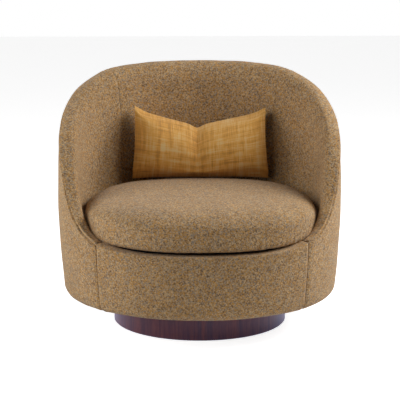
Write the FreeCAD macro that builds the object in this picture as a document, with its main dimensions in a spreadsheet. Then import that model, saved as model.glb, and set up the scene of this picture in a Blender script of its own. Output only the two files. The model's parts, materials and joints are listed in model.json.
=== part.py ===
import FreeCAD, Part
import Sketcher
import math
import os
from FreeCAD import Placement, Rotation, Vector

# Upholstered barrel chair on a round wooden plinth, in millimetres.
# +Z is up, the sitter faces -Y, and the origin is the centre of the plinth on the floor.

doc = FreeCAD.newDocument("SwivelChair")
sheet = doc.addObject("Spreadsheet::Sheet", "Sizes")

SIZES = {
    # body plan and barrel wall
    "body_half_width": 445, "body_front": 441, "body_back": 436.4, "body_bottom": 102, "edge_radius": 26,
    "foot_tuck": 20, "belly_height": 480, "shoulder_tuck": 8, "body_corner_share": 0.48,
    # rim seam and crest
    "rail_top": 297, "back_seam_height": 754, "crest_rise": 22, "crest_set_in": 33, "seam_strip": 40,
    # seat well, by the thickness of the walls round it
    "deck_height": 300, "arm_thick": 80, "front_thick": 39, "back_thick": 170.4, "well_corner_share": 0.455,
    "side_lean_angle": 4, "back_lean_angle": 10.5, "shoulder_drop": 86,
    # cover panels
    "cover_thick": 2, "layer_gap": 0.3, "rail_seam_angle": 46, "back_seam_angle": 133.5, "seam_gap_angle": 0.06,
    "hem_width": 26, "cover_tuck": 24,
    # padding and lining
    "padding_thick": 20, "lining_thick": 3, "rail_padding_thick": 8,
    # timber frame
    "rib_thick": 18, "rib_margin": 4, "rib_shelf": 34, "board_thick": 18, "board_set_in": 7, "board_hole": 30,
    "rail_thick": 18, "top_rail_width": 22, "top_rail_depth": 32, "top_rail_drop": 8, "top_rail_set_in": 8,
    "deck_ring_width": 44, "deck_ring_thick": 18, "deck_ring_drop": 24,
    # springs and deck
    "spring_wire": 3.8, "spring_pitch": 30, "spring_width": 52,
    "clip_width": 18, "clip_depth": 16, "clip_wall": 2, "deck_pad_thick": 14, "deck_cover_thick": 1.5,
    # plinth
    "plinth_radius": 272, "plinth_height": 93, "plinth_wall": 20, "plinth_edge": 3, "glide_height": 2,
    "plinth_board_thick": 18, "access_hole": 32,
    "block_width": 60, "block_depth": 28, "block_height": 40, "glide_radius": 8, "glide_ring_radius": 256,
    # swivel bearing
    "plate_side": 300, "plate_corner": 14, "plate_thick": 2.5, "plate_gap": 13, "race_radius": 130,
    "race_width": 18, "race_gap": 2, "ball_radius": 3.2, "ball_clearance": 0.05, "cage_thick": 1.2,
    "pivot_radius": 6, "pivot_clearance": 0.05, "pivot_head_radius": 11, "pivot_head_height": 7,
    "washer_radius": 15, "washer_thick": 1.6, "nut_radius": 10, "nut_height": 9, "pivot_tail": 4,
    "bolt_radius": 3, "bolt_length": 22, "bolt_head_radius": 6.5, "bolt_head_height": 3, "bolt_set_in": 24,
    # small hardware
    "screw_radius": 2.2, "screw_head_radius": 4.4, "screw_head_height": 2.4, "screw_length": 34,
    "dust_cover_thick": 1, "dust_cover_hole": 232, "dust_cover_overlap": 9,
    # seat cushion
    "cushion_side_gap": 6, "cushion_front_set_in": 13, "cushion_back_gap": 5, "cushion_height": 131,
    "crown_corner_share": 0.36,
    # lumbar pillow
    "pillow_width": 424, "pillow_height": 228, "pillow_thick": 124, "pillow_chop": 60, "pillow_seam": 7,
    "pillow_set_in": 66, "pillow_lean_angle": 11,
    # zips
    "zip_width": 12, "zip_thick": 1.2, "zip_length": 420, "pillow_zip_length": 260,
}
COUNTS = {"ball_count": 28, "block_count": 6, "spring_count": 6, "glide_count": 6}

for row, (name, value) in enumerate(list(SIZES.items()) + list(COUNTS.items()), start=1):
    sheet.set("A%d" % row, name)
    sheet.set("B%d" % row, str(value))
    sheet.setAlias("B%d" % row, name)
doc.recompute()


def size(name):
    """One driving size, read from the sheet."""
    return float(sheet.get(name))


def count(name):
    """One driving count, read from the sheet."""
    return int(sheet.get(name))


PARTS = []


def keep(obj, label):
    """Gives a finished piece its name and puts it on the list of pieces to write."""
    obj.Label = label
    PARTS.append(obj)
    return obj


def feature(label, shape, placement=None):
    """A piece whose shape comes from lofts or sweeps that no ready feature makes."""
    obj = doc.addObject("Part::Feature", label)
    obj.Shape = shape
    obj.Placement = placement or Placement()
    return keep(obj, label)


# Heights that several pieces share

skin = size("cover_thick")
under_cover = skin + size("layer_gap")
board_bottom = size("body_bottom") + under_cover
board_top = board_bottom + size("board_thick")
upper_plate_bottom = board_bottom - size("plate_thick")
lower_plate_top = upper_plate_bottom - size("plate_gap")
plates_bottom = lower_plate_top - size("plate_thick")
ball_height = (upper_plate_bottom + lower_plate_top) / 2
plinth_board_bottom = plates_bottom - size("plinth_board_thick")
deck_ring_top = size("deck_height") - size("deck_ring_drop")
deck_ring_bottom = deck_ring_top - size("deck_ring_thick")
cover_low = size("deck_height") - size("cover_tuck") / 4

# Half width and reaches of the seat well and of the cushion in it

well_half_width = size("body_half_width") - size("arm_thick")
well_front = size("body_front") - size("front_thick")
well_back = size("body_back") - size("back_thick")
cushion_half_width = well_half_width - size("cushion_side_gap")
cushion_front = size("body_front") - size("cushion_front_set_in")
cushion_back = well_back - size("cushion_back_gap")
well_power = 1 / size("well_corner_share")
well_halvings = 40


# Curves of the upholstered body

def eased(table, share):
    """Monotone curve through a table of (place share, value share)."""
    xs = [p[0] for p in table]
    ys = [p[1] for p in table]
    share = min(max(share, xs[0]), xs[-1])
    steps = [(ys[i + 1] - ys[i]) / (xs[i + 1] - xs[i]) for i in range(len(xs) - 1)]
    slopes = [steps[0]]
    for before, after in zip(steps, steps[1:]):
        slopes.append(0 if before * after <= 0 else 2 * before * after / (before + after))
    slopes.append(steps[-1])
    i = max(k for k in range(len(xs) - 1) if xs[k] <= share)
    span = xs[i + 1] - xs[i]
    t = (share - xs[i]) / span
    rise = (3 - 2 * t) * t * t
    return (ys[i] + (ys[i + 1] - ys[i]) * rise
            + span * (slopes[i] * t * (1 - t) * (1 - t) - slopes[i + 1] * t * t * (1 - t)))


# Each table runs from the front, share zero, round to the back, share one.
seam_rise_shares = ((0, 0), (0.12, 0), (0.17, 0.004), (0.21, 0.012), (0.247, 0.029), (0.278, 0.055),
                    (0.306, 0.094), (0.333, 0.151), (0.361, 0.226), (0.389, 0.319), (0.422, 0.447), (0.461, 0.567),
                    (0.5, 0.652), (0.583, 0.784), (0.667, 0.9), (0.778, 0.98), (0.889, 0.996), (1, 1))
crest_rise_shares = ((0, 0.15), (0.14, 0.15), (0.247, 0.2), (0.333, 0.42), (0.5, 1), (1, 1.25))
crest_set_in_shares = ((0, 0.4), (0.247, 0.42), (0.333, 0.7), (0.5, 1), (1, 1.3))
shoulder_tuck_shares = ((0, 0.2), (0.247, 0.3), (0.333, 0.6), (0.42, 1), (1, 1))
shoulder_limit_share = 0.8
thin_share = 0.5
seam_edge_share = 0.15
barrel_power_share = 2.1


def around(angle):
    """Share of the way from the front to the back for a plan angle in degrees."""
    angle = abs(angle) % 360
    return min(angle, 360 - angle) / 180


def plan_radius(angle):
    """Distance from the axis to the body's rounded, slightly squared oval."""
    power = 1 / size("body_corner_share")
    along = math.cos(math.radians(angle))
    along = abs(along) / size("body_front" if along > 0 else "body_back")
    across = abs(math.sin(math.radians(angle))) / size("body_half_width")
    return (across ** power + along ** power) ** (-1 / power)


def well_radius(angle, grow=0):
    """Distance from the axis to the seat well's slightly squared oval, whose centre lies towards the front."""
    half_width = well_half_width + grow
    half_depth = (well_front + well_back) / 2 + grow
    centre = (well_front - well_back) / 2
    across = math.sin(math.radians(angle)) / half_width
    along = math.cos(math.radians(angle)) / half_depth
    near, far = 0, half_width + half_depth
    for halving in range(well_halvings):
        middle = (near + far) / 2
        reach = abs(middle * across) ** well_power + abs(middle * along - centre / half_depth) ** well_power
        near, far = (middle, far) if reach < 1 else (near, middle)
    return (near + far) / 2


def wall_tuck(angle, height, seam):
    """How far the outer wall lies inside the widest line at a height."""
    low = max(0, (size("belly_height") - height) / (size("belly_height") - size("body_bottom")))
    high = max(0, (height - size("body_bottom")) / (seam - size("body_bottom")))
    tuck = size("foot_tuck") * low ** barrel_power_share
    return tuck + size("shoulder_tuck") * eased(shoulder_tuck_shares, around(angle)) * high ** 4


brow_angle, bend_angle, cheek_angle = 67.5, 45, 22.5


def on_quarter(inner, outer, low, high, turn):
    """Point on a quarter oval that starts upright at its inner low end and ends level at its top."""
    turn = math.radians(turn)
    return (inner + (outer - inner) * (1 - math.cos(turn)), low + (high - low) * math.sin(turn))


def station(angle, depth, thinned=True):
    """Key points (radius, height) of the body's section at a plan angle, a depth inside the skin.

    Where the arms run down to the front rail there is little room above the deck, so a deep layer is thinned."""
    plan = plan_radius(angle)
    share = around(angle)
    low = size("body_bottom")
    edge = size("edge_radius")
    seam = size("rail_top") + (size("back_seam_height") - size("rail_top")) * eased(seam_rise_shares, share)
    seam_radius = plan - wall_tuck(angle, seam, seam)
    crest_radius = seam_radius - size("crest_set_in") * eased(crest_set_in_shares, share)
    crest = seam + size("crest_rise") * eased(crest_rise_shares, share)
    deck = size("deck_height")
    drop = min(size("shoulder_drop"), shoulder_limit_share * (crest - deck))
    lean = size("side_lean_angle")
    lean += (size("back_lean_angle") - size("side_lean_angle")) * max(0, 2 * share - 1)
    shoulder = crest - drop
    well = well_radius(angle)
    inner = well + (shoulder - deck) * math.tan(math.radians(lean))
    slant = math.sqrt(0.5)
    if thinned and depth > size("cover_thick"):
        depth = min(depth, size("cover_thick") + size("layer_gap") + thin_share * (crest - deck))
    foot_radius = plan - wall_tuck(angle, low + edge, seam)
    split = seam - size("seam_strip")
    waist = (low + edge + split) / 2
    upper = (split + seam) / 2
    seam_edge = max(seam_radius - depth, crest_radius + seam_edge_share * (seam_radius - crest_radius))
    return {
        "hem": (foot_radius - edge - size("hem_width"), low + depth),
        "under": (foot_radius - edge, low + depth),
        "edge": (foot_radius - edge + (edge - depth) * slant, low + edge - (edge - depth) * slant),
        "foot": (foot_radius - depth, low + edge),
        "waist": (plan - wall_tuck(angle, waist, seam) - depth, waist),
        "split": (plan - wall_tuck(angle, split, seam) - depth, split),
        "upper": (plan - wall_tuck(angle, upper, seam) - depth, upper),
        "seam": (seam_edge, seam),
        "roll": (crest_radius + (seam_edge - crest_radius) * slant, seam + (crest - seam - depth) * slant),
        "crest": (crest_radius, crest - depth),
        "brow": on_quarter(inner + depth, crest_radius, shoulder, crest - depth, brow_angle),
        "bend": on_quarter(inner + depth, crest_radius, shoulder, crest - depth, bend_angle),
        "cheek": on_quarter(inner + depth, crest_radius, shoulder, crest - depth, cheek_angle),
        "shoulder": (inner + depth, shoulder),
        "well": (well + depth, deck),
    }


def spot(angle, point):
    """Turns (radius, height) at a plan angle into a place in the room."""
    turn = math.radians(angle)
    return Vector(point[0] * math.sin(turn), -point[0] * math.cos(turn), point[1])


def chain(angle, path):
    """Closed wire at a plan angle: an item with two points is a line, one with three is an arc."""
    edges = []
    for item in path:
        points = [spot(angle, point) for point in item]
        if len(points) == 2:
            edges.append(Part.LineSegment(points[0], points[1]).toShape())
        else:
            edges.append(Part.Arc(points[0], points[1], points[2]).toShape())
    return Part.Wire(edges)


def lofted(angles, path_at):
    """Solid through the closed sections that path_at gives at each plan angle."""
    wires = [chain(angle, path_at(angle)) for angle in angles]
    shape = Part.makeLoft(wires, True, False)
    if shape.Volume < 0:
        shape.reverse()
    return shape


section_angle_shares = (0.247, 0.278, 0.306, 0.333, 0.361, 0.389, 0.422, 0.461, 0.5, 0.54, 0.583, 0.625,
                        0.667, 0.72, 0.778, 0.8167, 0.889, 0.945, 1)


def angles_between(first, last):
    """Section angles from one plan angle to another, both included."""
    right = [180 * share for share in section_angle_shares]
    every = right + [360 - angle for angle in reversed(right[:-1])]
    spare = size("rib_thick") / size("body_half_width") * 90
    inner = [angle for angle in every if first + spare < angle < last - spare]
    return [first] + inner + [last]


padding_back = under_cover + size("padding_thick")
lining_back = under_cover + size("lining_thick")
rail_padding_back = under_cover + size("rail_padding_thick")
rail_angle = size("rail_seam_angle")
back_angle = size("back_seam_angle")
slit = size("seam_gap_angle")


# Outside cover: one piece of cloth from the hem under the body up to the rim seam

def outside_cover_path(angle):
    out = station(angle, 0)
    back = station(angle, skin)
    return ((out["hem"], out["under"]), (out["under"], out["edge"], out["foot"]),
            (out["foot"], out["waist"], out["split"]), (out["split"], out["upper"], out["seam"]),
            (out["seam"], back["seam"]), (back["seam"], back["upper"], back["split"]),
            (back["split"], back["waist"], back["foot"]), (back["foot"], back["edge"], back["under"]),
            (back["under"], back["hem"]), (back["hem"], out["hem"]))


feature("outside_cover", lofted(angles_between(rail_angle + slit, 360 - rail_angle - slit), outside_cover_path))


# Front rail cover: the panel across the front, which turns in over the rail's top

def front_cover_path(angle):
    out = station(angle, 0)
    back = station(angle, skin)
    end = (out["crest"][0] - size("cover_tuck"), out["crest"][1])
    end_back = (back["crest"][0] - size("cover_tuck"), back["crest"][1])
    return ((out["hem"], out["under"]), (out["under"], out["edge"], out["foot"]),
            (out["foot"], out["waist"], out["split"]), (out["split"], out["upper"], out["seam"]),
            (out["seam"], out["roll"], out["crest"]),
            (out["crest"], end), (end, end_back), (end_back, back["crest"]),
            (back["crest"], back["roll"], back["seam"]), (back["seam"], back["upper"], back["split"]),
            (back["split"], back["waist"], back["foot"]),
            (back["foot"], back["edge"], back["under"]), (back["under"], back["hem"]),
            (back["hem"], out["hem"]))


front_turn_shares = (-1, -0.75, -0.5, -0.25, 0, 0.25, 0.5, 0.75, 1)
front_angles = [(rail_angle - slit) * share for share in front_turn_shares]
feature("front_rail_cover", lofted(front_angles, front_cover_path))


# Inside covers: the arms and the back, from the rim seam over the crest down to the deck

def inside_cover_path(angle):
    out = station(angle, 0)
    back = station(angle, skin)
    low = (out["well"][0], cover_low)
    low_back = (back["well"][0], cover_low)
    gap = 2 * size("layer_gap")
    start = (out["seam"][0], out["seam"][1] + gap)
    start_back = (back["seam"][0], back["seam"][1] + gap)
    return ((start, out["roll"], out["crest"]), (out["crest"], out["brow"], out["bend"]),
            (out["bend"], out["cheek"], out["shoulder"]), (out["shoulder"], low), (low, low_back),
            (low_back, back["shoulder"]), (back["shoulder"], back["cheek"], back["bend"]),
            (back["bend"], back["brow"], back["crest"]), (back["crest"], back["roll"], start_back),
            (start_back, start))


feature("inside_arm_cover_right", lofted(angles_between(rail_angle + slit, back_angle - slit), inside_cover_path))
feature("inside_arm_cover_left",
        lofted(angles_between(360 - back_angle + slit, 360 - rail_angle - slit), inside_cover_path))
feature("inside_back_cover", lofted(angles_between(back_angle + slit, 360 - back_angle - slit), inside_cover_path))


# Padding behind the inside covers

def padding_path(angle):
    out = station(angle, under_cover)
    back = station(angle, padding_back)
    low = (out["well"][0], cover_low)
    low_back = (back["well"][0], cover_low)
    return ((out["seam"], out["roll"], out["crest"]), (out["crest"], out["brow"], out["bend"]),
            (out["bend"], out["cheek"], out["shoulder"]), (out["shoulder"], low), (low, low_back),
            (low_back, back["shoulder"]), (back["shoulder"], back["cheek"], back["bend"]),
            (back["bend"], back["brow"], back["crest"]), (back["crest"], back["roll"], back["seam"]),
            (back["seam"], out["seam"]))


feature("arm_padding_right", lofted(angles_between(rail_angle + slit, back_angle - slit), padding_path))
feature("arm_padding_left",
        lofted(angles_between(360 - back_angle + slit, 360 - rail_angle - slit), padding_path))
feature("back_padding", lofted(angles_between(back_angle + slit, 360 - back_angle - slit), padding_path))


def rail_padding_path(angle):
    out = station(angle, under_cover, False)
    back = station(angle, rail_padding_back, False)
    end = (out["crest"][0] - size("cover_tuck"), out["crest"][1])
    end_back = (end[0], back["crest"][1])
    corner = (back["split"][0], back["crest"][1])
    return ((out["foot"], out["waist"], out["split"]), (out["split"], out["upper"], out["seam"]),
            (out["seam"], out["roll"], out["crest"]), (out["crest"], end), (end, end_back),
            (end_back, corner), (corner, back["split"]), (back["split"], back["waist"], back["foot"]),
            (back["foot"], out["foot"]))


feature("front_rail_padding", lofted(front_angles, rail_padding_path))


# Fibreboard lining that stiffens the outside cover

def lining_path(angle):
    out = station(angle, under_cover)
    back = station(angle, lining_back)
    return ((out["foot"], out["waist"], out["split"]), (out["split"], back["split"]),
            (back["split"], back["waist"], back["foot"]), (back["foot"], out["foot"]))


feature("outside_lining", lofted(angles_between(rail_angle + slit, 360 - rail_angle - slit), lining_path))


# Timber frame: front rail, top rail and upright ribs

def front_rail_path(angle):
    out = station(angle, rail_padding_back + 2 * size("layer_gap"), False)
    top = out["crest"][1] - size("layer_gap")
    foot = (out["foot"][0], board_top)
    head = (out["split"][0], top)
    thick = size("rail_thick")
    return ((foot, head), (head, (head[0] - thick, top)), ((head[0] - thick, top), (foot[0] - thick, board_top)),
            ((foot[0] - thick, board_top), foot))


front_rail = feature("front_rail", lofted(front_angles, front_rail_path))


def top_rail_path(angle):
    back = station(angle, padding_back)
    outer = station(angle, 0)["seam"][0] - lining_back - size("top_rail_set_in")
    inner = max(outer - size("top_rail_width"), back["brow"][0] + size("rib_margin"))
    high = back["crest"][1] - size("top_rail_drop")
    low = high - size("top_rail_depth")
    return (((outer, low), (outer, high)), ((outer, high), (inner, high)), ((inner, high), (inner, low)),
            ((inner, low), (outer, low)))


top_rail_end_share = 0.422
top_rail = feature("top_rail", lofted(angles_between(180 * top_rail_end_share, 360 - 180 * top_rail_end_share),
                                      top_rail_path))


def rib(angle):
    """Upright plywood rib that clears the lining and the padding at both its faces and carries the deck ring."""
    half_turn = math.degrees(math.atan(size("rib_thick") / 2 / well_back))
    faces = (angle - half_turn, angle + half_turn)
    outs = [station(face, lining_back + 2 * size("layer_gap")) for face in faces]
    backs = [station(face, padding_back + 2 * size("layer_gap")) for face in faces]
    margin = size("rib_margin")

    def outside(name):
        return (min(out[name][0] for out in outs), min(out[name][1] for out in outs))

    def inside(name, drop=0):
        return (max(back[name][0] for back in backs), min(back[name][1] for back in backs) - drop)

    crest = inside("crest", margin)
    crest = (crest[0], min(crest[1], inside("seam", 2 * size("layer_gap"))[1]))
    split = outside("split")
    inner_foot = (inside("well")[0], cover_low)
    path = [(outside("foot"), outside("waist"), split)]
    last = split
    upper = (outside("upper")[0] - margin, crest[1])
    for corner in (upper, crest, inside("bend", margin), inside("shoulder", margin), inner_foot):
        if corner[0] < last[0] and (corner[1] <= last[1] or last == split):
            path.append((last, corner))
            last = corner
    shelf = last[0] - size("rib_shelf")
    for corner in ((last[0], deck_ring_bottom), (shelf, deck_ring_bottom), (shelf, board_top),
                   (outside("foot")[0], board_top), outside("foot")):
        path.append((last, corner))
        last = corner
    outline = []
    for item in path:
        points = [Vector(point[0], 0, point[1]) for point in item]
        if len(points) == 2:
            outline.append(Part.LineSegment(points[0], points[1]).toShape())
        else:
            outline.append(Part.Arc(points[0], points[1], points[2]).toShape())
    plate = Part.Face(Part.Wire(outline)).extrude(Vector(0, size("rib_thick"), 0))
    plate.translate(Vector(0, -size("rib_thick") / 2, 0))
    plate.rotate(Vector(0, 0, 0), Vector(0, 0, 1), angle - 90)
    return plate


# Screws come up through the base board into the foot of each rib.
screw_head_low = board_bottom + size("board_thick") / 2
screw_head_top = screw_head_low + size("screw_head_height")
bore_gap = size("ball_clearance")


def board_rim(angle):
    """Distance from the axis to the base board's edge, inside the cover."""
    return station(angle, under_cover)["foot"][0] - size("board_set_in")


def rib_screw(angle, grow=0):
    """Screw under a rib, or the room it needs when grown."""
    rim = board_rim(angle)
    inner = station(angle, padding_back)["well"][0] - size("rib_shelf")
    place = (max(inner, rim - 2 * size("rib_thick")) + rim) / 2
    low = screw_head_low if grow == 0 else board_bottom
    shank = Part.makeCylinder(size("screw_radius") + grow, screw_head_low + size("screw_length") - low,
                              Vector(0, -place, low))
    head = Part.makeCylinder(size("screw_head_radius") + grow, screw_head_top - low, Vector(0, -place, low))
    screw = shank.fuse(head)
    screw.rotate(Vector(0, 0, 0), Vector(0, 0, 1), angle)
    return screw


rib_angle_shares = (0.286, 0.417, 0.55, 0.69, 0.85)
rib_names = ("front", "arm_front", "arm_back", "corner", "back")
rib_angles = []
for rib_name, share in zip(rib_names, rib_angle_shares):
    for side_name, angle in (("right", 180 * share), ("left", 360 - 180 * share)):
        feature("rib_%s_%s" % (rib_name, side_name),
                rib(angle).cut(top_rail.Shape).cut(rib_screw(angle, bore_gap)))
        rib_angles.append(angle)
feature("rib_centre", rib(180).cut(top_rail.Shape).cut(rib_screw(180, bore_gap)))
rib_angles.append(180)
feature("rib_screws", Part.makeCompound([rib_screw(angle) for angle in rib_angles]))


# Helpers for pieces drawn in sketches, every size bound to the sheet

def plane_of(body, role):
    """One of the body's own origin planes."""
    return [item for item in body.Origin.OriginFeatures if item.Role == role][0]


def new_body(name):
    return doc.addObject("PartDesign::Body", name + "_body")


def new_sketch(body, name, role="XY_Plane", lift=None):
    """Sketch on an origin plane of its body, raised by an expression if one is given."""
    sketch = body.newObject("Sketcher::SketchObject", name)
    sketch.AttachmentSupport = [(plane_of(body, role), "")]
    sketch.MapMode = "FlatFace"
    if lift:
        sketch.setExpression("AttachmentOffset.Base.z", lift)
    return sketch


def bind(sketch, constraint, expression):
    """Adds a constraint whose value follows an expression on the sheet."""
    index = sketch.addConstraint(constraint)
    sketch.setExpression("Constraints[%d]" % index, expression)


def add_circle(sketch, radius, x=None):
    """Circle on the sketch's X axis with its radius, and place if given, bound to the sheet."""
    start = 1
    item = sketch.addGeometry(Part.Circle(Vector(start if x else 0, 0, 0), Vector(0, 0, 1), start), False)
    if x:
        sketch.addConstraint(Sketcher.Constraint("PointOnObject", item, 3, -1))
        bind(sketch, Sketcher.Constraint("DistanceX", -1, 1, item, 3, start), x)
    else:
        sketch.addConstraint(Sketcher.Constraint("Coincident", item, 3, -1, 1))
    bind(sketch, Sketcher.Constraint("Radius", item, start), radius)
    return item


def add_outline(sketch, corners):
    """Closed outline whose corners (across, up) are expressions on the sheet."""
    values = [(evaluate(x), evaluate(y)) for x, y in corners]
    items = []
    for here, there in zip(values, values[1:] + values[:1]):
        line = Part.LineSegment(Vector(here[0], here[1], 0), Vector(there[0], there[1], 0))
        items.append(sketch.addGeometry(line, False))
    for item, following in zip(items, items[1:] + items[:1]):
        sketch.addConstraint(Sketcher.Constraint("Coincident", item, 2, following, 1))
    for item, (x, y), value in zip(items, corners, values):
        bind(sketch, Sketcher.Constraint("DistanceX", -1, 1, item, 1, value[0]), x)
        bind(sketch, Sketcher.Constraint("DistanceY", -1, 1, item, 1, value[1]), y)


def evaluate(expression):
    """Value of an expression on the sheet."""
    return float(sheet.evalExpression(expression.replace("Sizes.", "")))


def pad(body, sketch, name, length, reverse=False):
    item = body.newObject("PartDesign::Pad", name)
    item.Profile = sketch
    item.setExpression("Length", length)
    item.Reversed = reverse
    sketch.Visibility = False
    return item


def pocket_through(body, sketch, name):
    """Cuts a sketch through all of the body both ways."""
    item = body.newObject("PartDesign::Pocket", name)
    item.Profile = sketch
    item.Type = 1
    item.Midplane = True
    return item


def revolve(body, sketch, name, kind="PartDesign::Revolution"):
    item = body.newObject(kind, name)
    item.Profile = sketch
    item.ReferenceAxis = (sketch, ["V_Axis"])
    item.Angle = 360
    return item


def ring_pattern(body, seed, name, copies):
    item = body.newObject("PartDesign::PolarPattern", name)
    item.Originals = [seed]
    item.Axis = (plane_of(body, "Z_Axis"), [""])
    item.Angle = 360
    item.setExpression("Occurrences", copies)
    body.Tip = item
    return item


def around_ring(shape, copies, first=0):
    """Copies of a shape spread evenly about the swivel axis, as one group of solids."""
    group = []
    for index in range(copies):
        item = shape.copy()
        item.rotate(Vector(0, 0, 0), Vector(0, 0, 1), first + 360 * index / copies)
        group.append(item)
    return Part.makeCompound(group)


def tube_at(radius, low, high, x=0, y=0):
    """Upright cylinder between two heights."""
    return Part.makeCylinder(radius, high - low, Vector(x, y, low))


# Plinth: a round wooden drum on glides

body = new_body("plinth_ring")
sketch = new_sketch(body, "plinth_ring_outline", "XZ_Plane")
inner = "Sizes.plinth_radius - Sizes.plinth_wall"
add_outline(sketch, (
    (inner, "Sizes.glide_height"), ("Sizes.plinth_radius - Sizes.plinth_edge", "Sizes.glide_height"),
    ("Sizes.plinth_radius", "Sizes.glide_height + Sizes.plinth_edge"),
    ("Sizes.plinth_radius", "Sizes.plinth_height - Sizes.plinth_edge"),
    ("Sizes.plinth_radius - Sizes.plinth_edge", "Sizes.plinth_height"), (inner, "Sizes.plinth_height")))
revolve(body, sketch, "plinth_ring_turned")
keep(body, "plinth_ring")

glide = tube_at(size("glide_radius"), 0, size("glide_height"), size("glide_ring_radius"))
feature("plinth_glides", around_ring(glide, count("glide_count")))

wall_inside = size("plinth_radius") - size("plinth_wall")
block_face = math.sqrt(wall_inside ** 2 - (size("block_width") / 2) ** 2)
block = Part.makeBox(size("block_depth"), size("block_width"), size("block_height"),
                     Vector(block_face - size("block_depth"), -size("block_width") / 2,
                            plinth_board_bottom - size("block_height")))
block_screw_radius = block_face - size("block_depth") / 2
screw_clear = size("screw_radius") + size("ball_clearance")
block_screw_top = plinth_board_bottom + size("plinth_board_thick") / 2
block_screw_head_low = block_screw_top - size("screw_length") - size("screw_head_height")
block_bore = tube_at(screw_clear, plinth_board_bottom - size("block_height"), block_screw_top, block_screw_radius)
block_bore = block_bore.fuse(tube_at(size("screw_head_radius") + size("ball_clearance"),
                                     plinth_board_bottom - size("block_height"),
                                     block_screw_head_low + size("screw_head_height"), block_screw_radius))
feature("plinth_blocks", around_ring(block.cut(block_bore), count("block_count")))
block_screw = tube_at(size("screw_radius"), block_screw_head_low + size("screw_head_height"), block_screw_top,
                      block_screw_radius)
block_screw = block_screw.fuse(tube_at(size("screw_head_radius"), block_screw_head_low,
                                       block_screw_head_low + size("screw_head_height"), block_screw_radius))
feature("plinth_block_screws", around_ring(block_screw, count("block_count")))

body = new_body("plinth_board")
sketch = new_sketch(body, "plinth_board_outline")
add_circle(sketch, inner)
add_circle(sketch, "Sizes.access_hole")
board_pad = pad(body, sketch, "plinth_board_sheet", "Sizes.plinth_board_thick")
doc.recompute()
sketch = new_sketch(body, "plinth_board_bolt_hole")
bolt_place = "(Sizes.plate_side / 2 - Sizes.bolt_set_in) * sqrt(2)"
add_circle(sketch, "Sizes.bolt_radius", bolt_place)
seed = pocket_through(body, sketch, "plinth_board_bolt_bore")
doc.recompute()
ring_pattern(body, seed, "plinth_board_bolt_bores", "4")
doc.recompute()
plinth_board = body.Shape.copy()
plinth_board.rotate(Vector(0, 0, 0), Vector(0, 0, 1), 45)
plinth_board.translate(Vector(0, 0, plinth_board_bottom))
screw_bores = around_ring(tube_at(screw_clear, plinth_board_bottom, block_screw_top, block_screw_radius),
                          count("block_count"))
feature("plinth_top_board", plinth_board.cut(screw_bores))


# Swivel bearing: two square plates with raised races, a caged ring of balls and a centre pivot

def race_plate(label, plate_low, race_low, race_high, pivot_hole):
    """Square plate with a raised race whose groove fits the balls."""
    half = size("plate_side") / 2
    box = Part.makeBox(size("plate_side"), size("plate_side"), size("plate_thick"), Vector(-half, -half, plate_low))
    upright = [edge for edge in box.Edges if abs(edge.BoundBox.ZLength - size("plate_thick")) < size("ball_clearance")]
    plate = box.makeFillet(size("plate_corner"), upright)
    outer = size("race_radius") + size("race_width") / 2
    race = tube_at(outer, race_low, race_high).cut(tube_at(outer - size("race_width"), race_low, race_high))
    groove = Part.makeTorus(size("race_radius"), size("ball_radius") + size("ball_clearance"),
                            Vector(0, 0, ball_height))
    plate = plate.fuse(race).cut(groove)
    plate = plate.cut(tube_at(pivot_hole, plate_low, plate_low + size("plate_thick")))
    reach = half - size("bolt_set_in")
    for x in (-reach, reach):
        for y in (-reach, reach):
            plate = plate.cut(tube_at(size("bolt_radius"), plate_low, plate_low + size("plate_thick"), x, y))
    return feature(label, plate.removeSplitter())


race_half_gap = size("race_gap") / 2
race_plate("swivel_lower_plate", plates_bottom, lower_plate_top, ball_height - race_half_gap, size("pivot_radius"))
race_plate("swivel_upper_plate", upper_plate_bottom, ball_height + race_half_gap, upper_plate_bottom,
           size("pivot_radius") + size("pivot_clearance"))

ball = Part.makeSphere(size("ball_radius"), Vector(size("race_radius"), 0, ball_height))
feature("bearing_balls", around_ring(ball, count("ball_count")))

body = new_body("ball_cage")
sketch = new_sketch(body, "ball_cage_outline")
add_circle(sketch, "Sizes.race_radius + Sizes.race_width / 2")
add_circle(sketch, "Sizes.race_radius - Sizes.race_width / 2")
pad(body, sketch, "ball_cage_sheet", "Sizes.cage_thick")
doc.recompute()
sketch = new_sketch(body, "ball_cage_pocket_outline")
add_circle(sketch, "Sizes.ball_radius + Sizes.ball_clearance * 2", "Sizes.race_radius")
seed = pocket_through(body, sketch, "ball_cage_pocket")
doc.recompute()
ring_pattern(body, seed, "ball_cage_pockets", "Sizes.ball_count")
body.setExpression("Placement.Base.z", "Sizes.body_bottom + Sizes.cover_thick + Sizes.layer_gap"
                   " - Sizes.plate_thick - Sizes.plate_gap / 2 - Sizes.cage_thick / 2")
keep(body, "ball_cage")

washer_low = board_bottom + size("pivot_clearance")
head_low = washer_low + size("washer_thick")
nut_top = plates_bottom - size("washer_thick")
pivot_end = nut_top - size("nut_height") - size("pivot_tail")
shank = doc.addObject("Part::Cylinder", "pivot_shank")
shank.setExpression("Radius", "Sizes.pivot_radius")
shank.Height = head_low - pivot_end
shank.Placement = Placement(Vector(0, 0, pivot_end), Rotation())
head = doc.addObject("Part::Cylinder", "pivot_head")
head.setExpression("Radius", "Sizes.pivot_head_radius")
head.setExpression("Height", "Sizes.pivot_head_height")
head.Placement = Placement(Vector(0, 0, head_low), Rotation())
bolt = doc.addObject("Part::Fuse", "pivot_bolt_solid")
bolt.Base = shank
bolt.Tool = head
keep(bolt, "pivot_bolt")


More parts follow.
